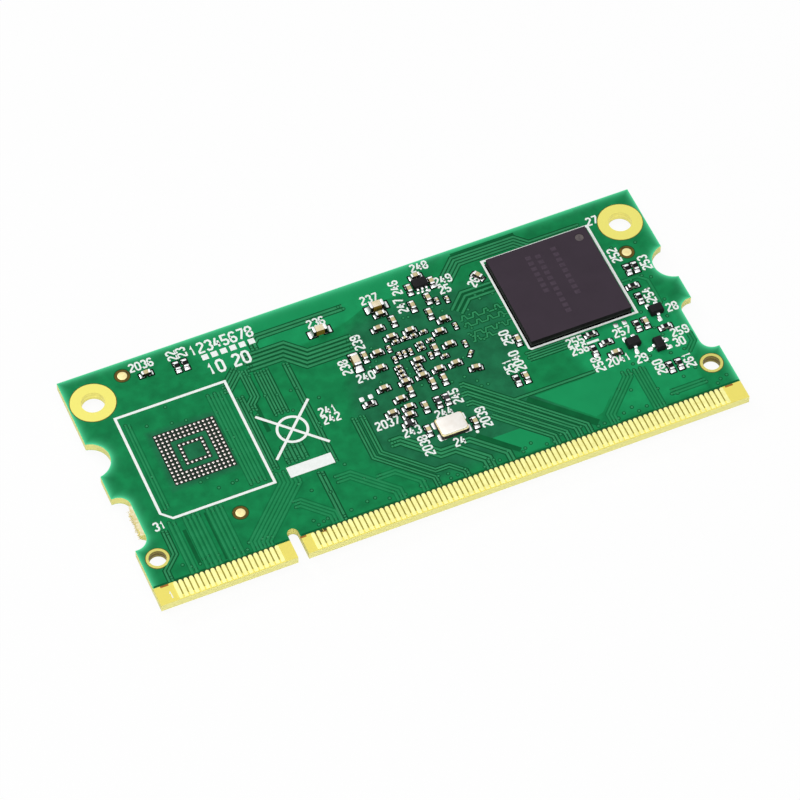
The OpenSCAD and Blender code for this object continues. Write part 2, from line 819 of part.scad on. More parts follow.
module large_capacitor_ends() {
    color(solder_colour)
        on_upper()
            at_spots(large_spots)
                chip_ends(large_chip);
}

module large_capacitor_solder() {
    color(solder_colour)
        on_upper()
            at_spots(large_spots)
                chip_solder(large_chip);
}

module capacitor_bodies() {
    color(ceramic_colour)
        on_upper()
            at_spots(capacitor_spots)
                chip_body(small_chip, small_h);
}

module capacitor_ends() {
    color(solder_colour)
        on_upper()
            at_spots(capacitor_spots)
                chip_ends(small_chip);
}

module capacitor_solder() {
    color(solder_colour)
        on_upper()
            at_spots(capacitor_spots)
                chip_solder(small_chip);
}

module tiny_capacitor_bodies() {
    color(ceramic_colour)
        on_upper()
            at_spots(tiny_spots)
                chip_body(tiny_chip, tiny_h);
}

module tiny_capacitor_ends() {
    color(solder_colour)
        on_upper()
            at_spots(tiny_spots)
                chip_ends(tiny_chip);
}

module tiny_capacitor_solder() {
    color(solder_colour)
        on_upper()
            at_spots(tiny_spots)
                chip_solder(tiny_chip);
}

// Black glaze on top of a resistor's body, between its ends
module glaze() {
    translate([0, 0, pad_t + resistor_h - glaze_t / 2])
        cube([small_l - 2 * small_end, small_w, glaze_t], center = true);
}

module resistor_bodies() {
    color(alumina_colour)
        on_upper()
            at_spots(resistor_spots)
                chip_body(resistor_chip, resistor_h - glaze_t);
}

module resistor_glaze() {
    color(glaze_colour)
        on_upper()
            at_spots(resistor_spots)
                glaze();
}

module resistor_ends() {
    color(solder_colour)
        on_upper()
            at_spots(resistor_spots)
                chip_ends(resistor_chip);
}

module resistor_solder() {
    color(solder_colour)
        on_upper()
            at_spots(resistor_spots)
                chip_solder(resistor_chip);
}

module bead_bodies() {
    color(ferrite_colour)
        on_upper()
            at_spots(bead_spots)
                chip_body(small_chip, small_h);
}

module bead_ends() {
    color(solder_colour)
        on_upper()
            at_spots(bead_spots)
                chip_ends(small_chip);
}

module bead_solder() {
    color(solder_colour)
        on_upper()
            at_spots(bead_spots)
                chip_solder(small_chip);
}

// Tinned pads of places with no part on them
module bare_pads() {
    length = small_end + small_reach;
    color(solder_colour)
        on_upper()
            at_spots(bare_pad_spots)
                for (side = [-1, 1])
                    translate([side * (small_l / 2 + small_reach - length / 2), 0, pad_t / 2])
                        cube([length, small_w + 2 * pad_side, pad_t], center = true);
}

module processor_balls() {
    middle = (processor_ball_count - 1) / 2;
    last = processor_ball_count - 1;
    color(solder_colour)
        on_lower()
            at_spots(processor_spot)
                for (i = [0 : last], j = [0 : last])
                    if (grid_ring(i, j, processor_ball_count) < processor_ball_rows)
                        translate([(i - middle) * processor_ball_pitch,
                            (j - middle) * processor_ball_pitch, 0])
                            cylinder(d = processor_ball_d, h = processor_ball_h, $fn = 24);
}

module processor_carrier() {
    color(carrier_colour)
        on_lower()
            at_spots(processor_spot)
                translate([-processor_l / 2, -processor_l / 2, processor_ball_h])
                    cube([processor_l, processor_l, processor_carrier_t]);
}

module processor_cap() {
    l = processor_l - 2 * processor_ledge;
    color(mould_colour)
        on_lower()
            at_spots(processor_spot)
                translate([-l / 2, -l / 2, processor_ball_h + processor_carrier_t])
                    cube([l, l, processor_cap_t]);
}

module leadless_body(l) {
    translate([-l / 2, -l / 2, pad_t])
        cube([l, l, leadless_h]);
}

// Lands along the four sides of a leadless chip, and one large land under its middle
module leadless_lands(l) {
    count = floor((l - 2 * leadless_land_l) / leadless_pitch);
    middle = (count - 1) / 2;
    reach = l / 2 + leadless_reach - leadless_land_l / 2;
    inner_l = l / 2;
    for (turn = [0 : 90 : 270], i = [0 : count - 1])
        rotate(turn)
            translate([(i - middle) * leadless_pitch, reach, pad_t / 2])
                cube([leadless_land_w, leadless_land_l, pad_t], center = true);
    translate([0, 0, pad_t / 2])
        cube([inner_l, inner_l, pad_t], center = true);
}

module power_chip() {
    color(mould_colour)
        on_lower()
            at_spots(power_spot)
                leadless_body(power_l);
}

module power_chip_lands() {
    color(solder_colour)
        on_lower()
            at_spots(power_spot)
                leadless_lands(power_l);
}

module interface_chip() {
    color(mould_colour)
        on_lower()
            at_spots(interface_spot)
                leadless_body(interface_l);
}

module interface_chip_lands() {
    color(solder_colour)
        on_lower()
            at_spots(interface_spot)
                leadless_lands(interface_l);
}

module storage_chip() {
    color(mould_colour)
        on_lower()
            at_spots(storage_spot)
                leaded_body(storage_kind);
}

module storage_chip_leads() {
    row = [for (i = [-1.5 : 1.5]) i * storage_pitch];
    color(solder_colour)
        on_lower()
            at_spots(storage_spot)
                lead_rows(storage_kind, row, row);
}

module coil_bodies() {
    color(ferrite_colour)
        on_lower()
            at_spots(coil_spots)
                chip_body(coil_chip, coil_h);
}

module coil_ends() {
    color(solder_colour)
        on_lower()
            at_spots(coil_spots)
                chip_ends(coil_chip);
}

module coil_solder() {
    color(solder_colour)
        on_lower()
            at_spots(coil_spots)
                chip_solder(coil_chip);
}

module lower_capacitor_bodies() {
    color(ceramic_colour)
        on_lower()
            at_spots(lower_capacitor_spots)
                chip_body(small_chip, small_h);
}

module lower_capacitor_ends() {
    color(solder_colour)
        on_lower()
            at_spots(lower_capacitor_spots)
                chip_ends(small_chip);
}

module lower_capacitor_solder() {
    color(solder_colour)
        on_lower()
            at_spots(lower_capacitor_spots)
                chip_solder(small_chip);
}

module lower_resistor_bodies() {
    color(alumina_colour)
        on_lower()
            at_spots(lower_resistor_spots)
                chip_body(resistor_chip, resistor_h - glaze_t);
}

module lower_resistor_glaze() {
    color(glaze_colour)
        on_lower()
            at_spots(lower_resistor_spots)
                glaze();
}

module lower_resistor_ends() {
    color(solder_colour)
        on_lower()
            at_spots(lower_resistor_spots)
                chip_ends(resistor_chip);
}

module lower_resistor_solder() {
    color(solder_colour)
        on_lower()
            at_spots(lower_resistor_spots)
                chip_solder(resistor_chip);
}

laminate_board();
upper_coating();
lower_coating();
upper_contacts();
lower_contacts();
mounting_hole_linings();
latch_hole_linings();
alignment_dots();
spare_chip_lands();
printed_outlines();
printed_target();
memory_balls();
memory_carrier();
memory_cap();
oscillator_pads();
oscillator_base();
oscillator_lid();
regulator_body();
regulator_leads();
transistor_bodies();
transistor_leads();
large_capacitor_bodies();
large_capacitor_ends();
large_capacitor_solder();
capacitor_bodies();
capacitor_ends();
capacitor_solder();
tiny_capacitor_bodies();
tiny_capacitor_ends();
tiny_capacitor_solder();
resistor_bodies();
resistor_glaze();
resistor_ends();
resistor_solder();
bead_bodies();
bead_ends();
bead_solder();
bare_pads();
processor_balls();
processor_carrier();
processor_cap();
power_chip();
power_chip_lands();
interface_chip();
interface_chip_lands();
storage_chip();
storage_chip_leads();
coil_bodies();
coil_ends();
coil_solder();
lower_capacitor_bodies();
lower_capacitor_ends();
lower_capacitor_solder();
lower_resistor_bodies();
lower_resistor_glaze();
lower_resistor_ends();
lower_resistor_solder();
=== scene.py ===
"""Dresses a packed card-edge computer module: finishes, circuit traces, print, solder and studio."""

import json
import math

import bpy
import numpy as np
from bpy.props import FloatProperty, FloatVectorProperty, PointerProperty
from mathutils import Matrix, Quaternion, Vector


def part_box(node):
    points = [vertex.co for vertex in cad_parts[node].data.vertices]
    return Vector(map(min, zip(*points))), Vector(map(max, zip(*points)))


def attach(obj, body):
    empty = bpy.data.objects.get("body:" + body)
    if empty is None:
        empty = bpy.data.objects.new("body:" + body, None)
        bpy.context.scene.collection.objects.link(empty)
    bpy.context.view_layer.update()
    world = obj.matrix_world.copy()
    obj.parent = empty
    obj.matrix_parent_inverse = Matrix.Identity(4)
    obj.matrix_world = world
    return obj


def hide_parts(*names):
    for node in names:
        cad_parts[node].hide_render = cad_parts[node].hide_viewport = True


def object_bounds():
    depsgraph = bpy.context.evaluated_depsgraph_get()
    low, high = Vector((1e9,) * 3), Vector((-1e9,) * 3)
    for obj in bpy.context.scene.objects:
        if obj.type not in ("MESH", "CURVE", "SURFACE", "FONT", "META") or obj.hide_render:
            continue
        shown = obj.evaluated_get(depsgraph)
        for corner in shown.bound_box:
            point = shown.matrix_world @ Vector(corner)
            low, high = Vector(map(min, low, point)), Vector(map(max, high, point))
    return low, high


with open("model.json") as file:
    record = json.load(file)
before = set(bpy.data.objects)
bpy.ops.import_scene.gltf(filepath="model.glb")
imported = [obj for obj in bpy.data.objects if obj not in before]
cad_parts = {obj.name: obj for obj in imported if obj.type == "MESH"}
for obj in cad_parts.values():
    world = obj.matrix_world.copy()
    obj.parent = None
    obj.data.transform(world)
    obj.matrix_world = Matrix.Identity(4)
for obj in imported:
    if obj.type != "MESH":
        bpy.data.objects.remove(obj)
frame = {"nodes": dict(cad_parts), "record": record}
CAD_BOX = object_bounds()

bl_info = {
    "name": "Card-edge computer module",
    "version": (1, 0, 0),
    "blender": (4, 5, 0),
    "location": "View3D > Sidebar > Module",
    "description": "Finishes, circuit traces, print, solder and studio for the packed module",
    "category": "Object",
}

MM = 0.001
BODY = "root"
UPPER_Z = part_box("upper_coating")[1].z
LOWER_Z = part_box("lower_coating")[0].z
LAMINATE_LOW, LAMINATE_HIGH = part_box("laminate_board")
BOARD_MIDDLE_Z = (LAMINATE_LOW.z + LAMINATE_HIGH.z) / 2
COATING_FRONT_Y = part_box("upper_coating")[0].y
FACES = (("upper", UPPER_Z, 1.0), ("lower", LOWER_Z, -1.0))
NODE_SLOT = {part["node"]: part["material_slot"] for part in frame["record"]["subparts"]}


def linear(code):
    """Linear colour of an sRGB hex value: each channel goes back through the sRGB curve."""
    channels = np.array([int(code[i:i + 2], 16) for i in (1, 3, 5)]) / 255
    curved = ((channels + 0.055) / 1.055) ** 2.4
    return (*np.where(channels <= 0.04045, channels / 12.92, curved).tolist(), 1.0)


def size(name, description, millimetres):
    """A length that the user can change, given in millimetres."""
    return FloatProperty(name=name, description=description, default=millimetres * MM, min=0, unit="LENGTH")


def colour(name, description, code):
    """A colour that the user can change, given as an sRGB hex value."""
    return FloatVectorProperty(name=name, description=description, size=4, min=0, max=1,
                               default=linear(code), subtype="COLOR")


class ModuleSizes(bpy.types.PropertyGroup):
    """Sizes of the detail that is added to the CAD solids."""

    trace_gap: size("Trace gap", "Bare strip between two circuit traces", 0.13)
    trace_rise: size("Trace rise", "Height of a trace's ridge in the coating", 0.012)
    trace_width: size("Trace width", "Widest circuit trace under the coating", 0.3)
    via_width: size("Via width", "Diameter of a coated via", 0.3)
    stroke_width: size("Stroke width", "Width of a printed stroke", 0.205)
    print_rise: size("Print rise", "Thickness of the printed numbers", 0.02)
    number_height: size("Number height", "Height of the printed numbers", 0.98)
    mark_rise: size("Mark rise", "Thickness of a laser mark on a chip", 0.003)
    pad_margin: size("Pad margin", "Bare rim round a soldered pad", 0.16)
    pad_rim: size("Pad rim", "Height of that rim, over the traces that run into it", 0.017)
    film: size("Film", "Thickness of a flat patch of colour on the laminate or the coating", 0.004)


class ModuleColours(bpy.types.PropertyGroup):
    """Main colours of the finishes."""

    mask: colour("Coating", "Green coating over copper", "#127644")
    mask_trace: colour("Coating ridge", "Green coating over the ridge of a trace", "#34915f")
    mask_pour: colour("Coating pour", "Green coating over a broad sheet of copper", "#1b965b")
    mask_shade: colour("Coating shade", "Green coating over glass with little copper", "#1f7049")
    mask_gap: colour("Coating gap", "Green coating over bare laminate", "#084e2a")
    # Painted glow at the board's edge, standing in for light through the glass
    mask_rim: colour("Coating rim", "Green coating at the board's edge, lit through the glass", "#5ce3a5")
    laminate: colour("Laminate", "Bare glass laminate", "#f1e36f")
    resin: colour("Resin", "Dark resin in the coating's openings", "#43360a")
    contact: colour("Contacts", "Hard gold on the card edge", "#faf8ab")
    ring: colour("Rings", "Gold on the rings and dots", "#e9e173")
    ink: colour("Print", "White printing ink", "#f9fcfa")
    mould: colour("Mould", "Moulded epoxy of the large chips", "#362d36")
    ceramic: colour("Capacitors", "Ceramic of the capacitors", "#d8c898")
    solder: colour("Solder", "Reflowed solder", "#eeeff0")


def add(tree, kind, inputs=(), **settings):
    """Adds a node with its settings; inputs maps a socket to a value or to the socket that feeds it."""
    made = tree.nodes.new(kind)
    for name, value in settings.items():
        setattr(made, name, value)
    for key, value in dict(inputs).items():
        if isinstance(value, bpy.types.NodeSocket):
            tree.links.new(value, made.inputs[key])
        else:
            made.inputs[key].default_value = value
    return made


def shade(colour_value, factor):
    """A colour made darker or lighter by a factor, with each channel held to one."""
    return tuple(min(1.0, c * factor) for c in colour_value[:3]) + (1.0,)


# Sides of the coating, the same at both ends of the board: middle and radius of a latch notch, and
# middle, straight half sizes and corner radius of a long cut-out
NOTCH_AT = Vector((LAMINATE_HIGH.x + 0.4 * MM, 4.5 * MM, 0))
NOTCH_RADIUS = 2.3 * MM
CUT_AT = Vector((LAMINATE_HIGH.x, -4.5 * MM, 0))
CUT_HALF = Vector((0.3 * MM, 2.15 * MM, 0))
CUT_CORNER = 1.4 * MM
# How deep the painted glow, which stands in for light in the glass, reaches inwards from those sides
GLOW_DEPTH = 0.3 * MM


def edge_glow(tree, place):
    """Painted glow: one at the board's ends and back, and less inwards, as the exponential of the distance
    from them.

    The distance is the least of those from the straight edges, the round latch notches and the long
    cut-outs, which are rounded rectangles. Both ends of the board are alike, so the size of x is used.
    """
    x, y = add(tree, "ShaderNodeSeparateXYZ", {"Vector": place}).outputs[:2]
    x = add(tree, "ShaderNodeMath", {0: x}, operation="ABSOLUTE").outputs[0]
    flat = add(tree, "ShaderNodeCombineXYZ", {"X": x, "Y": y}).outputs[0]
    notch = add(tree, "ShaderNodeVectorMath", {0: flat, 1: NOTCH_AT}, operation="DISTANCE")
    cut = add(tree, "ShaderNodeVectorMath", {0: flat, 1: CUT_AT}, operation="SUBTRACT").outputs[0]
    cut = add(tree, "ShaderNodeVectorMath", {0: cut}, operation="ABSOLUTE").outputs[0]
    cut = add(tree, "ShaderNodeVectorMath", {0: cut, 1: CUT_HALF}, operation="SUBTRACT").outputs[0]
    cut = add(tree, "ShaderNodeVectorMath", {0: cut, 1: (0, 0, 0)}, operation="MAXIMUM").outputs[0]
    cut = add(tree, "ShaderNodeVectorMath", {0: cut}, operation="LENGTH")
    least = add(tree, "ShaderNodeMath", {0: LAMINATE_HIGH.x, 1: x}, operation="SUBTRACT").outputs[0]
    for first, second in ((LAMINATE_HIGH.y, y), (notch.outputs["Value"], NOTCH_RADIUS),
                          (cut.outputs["Value"], CUT_CORNER)):
        away = add(tree, "ShaderNodeMath", {0: first, 1: second}, operation="SUBTRACT").outputs[0]
        least = add(tree, "ShaderNodeMath", {0: least, 1: away}, operation="MINIMUM").outputs[0]
    depth = add(tree, "ShaderNodeMath", {0: least, 1: -1 / GLOW_DEPTH}, operation="MULTIPLY").outputs[0]
    return add(tree, "ShaderNodeMath", {0: depth}, operation="EXPONENT").outputs[0]


# Noise values between which a finish drifts from its base to its tint
DRIFT = {"From Min": 0.3, "From Max": 0.7}
# Upward parts of the normal between which a face goes from upright, with its painted shade, to level
LEVEL = {"From Min": 0.2, "From Max": 0.8}
# Swing of the roughness with the grain
GLOSS_SWING = 0.08
# Depths under the laminate's faces between which the look of its cut edge begins
LAYER_FROM = 0.01 * MM
LAYER_TO = 0.06 * MM
# Length in which a wave texture of scale one repeats, and the least strength of its bands
TEXTURE_WAVE = 0.314
LAYER_LEAST = 0.6


def finish(name, base, tint, patch, grain, relief, rough, metallic=0.0, specular=0.5, layer=0.0, side=None,
           under=None, rim=None):
    """Surface whose colour drifts from base to tint over patches, with a fine grain in gloss and relief.

    Patch, grain, relief and layer are real sizes in millimetres. With layers the tint is on the cut edge
    alone, from a little under the upper face down to a little over the lower one, and bands it by height.
    Side is a painted shade, the colour of upright faces where it differs. Under is the base and tint of the
    finish below, which shows through where the piece's own fade attribute is zero. Rim is the colour of a
    painted glow at the board's edge.
    """
    made = bpy.data.materials.new(name)
    made.use_nodes = True
    tree = made.node_tree
    tree.nodes.clear()
    place = add(tree, "ShaderNodeTexCoord").outputs["Object"]
    drift = add(tree, "ShaderNodeTexNoise", {"Vector": place, "Scale": 1 / (patch * MM), "Detail": 3.0})
    share = add(tree, "ShaderNodeMapRange", {"Value": drift.outputs["Fac"], **DRIFT}).outputs["Result"]
    if layer:
        height = add(tree, "ShaderNodeSeparateXYZ", {"Vector": place}).outputs["Z"]
        depth = add(tree, "ShaderNodeMath", {0: height, 1: BOARD_MIDDLE_Z}, operation="SUBTRACT")
        depth = add(tree, "ShaderNodeMath", {0: depth.outputs[0]}, operation="ABSOLUTE")
        half = (LAMINATE_HIGH.z - LAMINATE_LOW.z) / 2
        edge = add(tree, "ShaderNodeMapRange", {"Value": depth.outputs[0], "From Min": half - LAYER_FROM,
                                                "From Max": half - LAYER_TO})
        bands = add(tree, "ShaderNodeTexWave", {"Vector": place, "Scale": TEXTURE_WAVE / (layer * MM),
                                                "Distortion": 1.5, "Detail": 2.0}, bands_direction="Z")
        bands = add(tree, "ShaderNodeMapRange", {"Value": bands.outputs["Fac"], "To Min": LAYER_LEAST})
        share = add(tree, "ShaderNodeMath", {0: edge.outputs["Result"], 1: bands.outputs["Result"]},
                    operation="MULTIPLY").outputs[0]
    mixed = add(tree, "ShaderNodeMix", {0: share, 6: base, 7: tint}, data_type="RGBA")
    # Painted shade: upright faces take the side colour, level ones keep the finish's own
    if side:
        facing = add(tree, "ShaderNodeNewGeometry").outputs["Normal"]
        facing = add(tree, "ShaderNodeSeparateXYZ", {"Vector": facing}).outputs["Z"]
        facing = add(tree, "ShaderNodeMath", {0: facing}, operation="ABSOLUTE").outputs[0]
        level = add(tree, "ShaderNodeMapRange", {"Value": facing, **LEVEL})
        mixed = add(tree, "ShaderNodeMix", {0: level.outputs["Result"], 6: side, 7: mixed.outputs[2]},
                    data_type="RGBA")
    if under:
        below = add(tree, "ShaderNodeMix", {0: share, 6: under[0], 7: under[1]}, data_type="RGBA")
        fade = add(tree, "ShaderNodeAttribute", attribute_name="fade").outputs["Fac"]
        mixed = add(tree, "ShaderNodeMix", {0: fade, 6: below.outputs[2], 7: mixed.outputs[2]},
                    data_type="RGBA")
    # Painted glow: the rim colour takes over towards the board's edge
    if rim:
        mixed = add(tree, "ShaderNodeMix", {0: edge_glow(tree, place), 6: mixed.outputs[2], 7: rim},
                    data_type="RGBA")
    fine = add(tree, "ShaderNodeTexNoise", {"Vector": place, "Scale": 1 / (grain * MM), "Detail": 2.0})
    gloss = add(tree, "ShaderNodeMapRange", {"Value": fine.outputs["Fac"], "To Min": rough - GLOSS_SWING,
                                             "To Max": rough + GLOSS_SWING})
    bump = add(tree, "ShaderNodeBump", {"Height": fine.outputs["Fac"], "Distance": relief * MM})
    shader = add(tree, "ShaderNodeBsdfPrincipled", {
        "Base Color": mixed.outputs[2], "Roughness": gloss.outputs["Result"],
        "Normal": bump.outputs["Normal"], "Metallic": metallic, "Specular IOR Level": specular})
    add(tree, "ShaderNodeOutputMaterial", {"Surface": shader.outputs["BSDF"]})
    return made


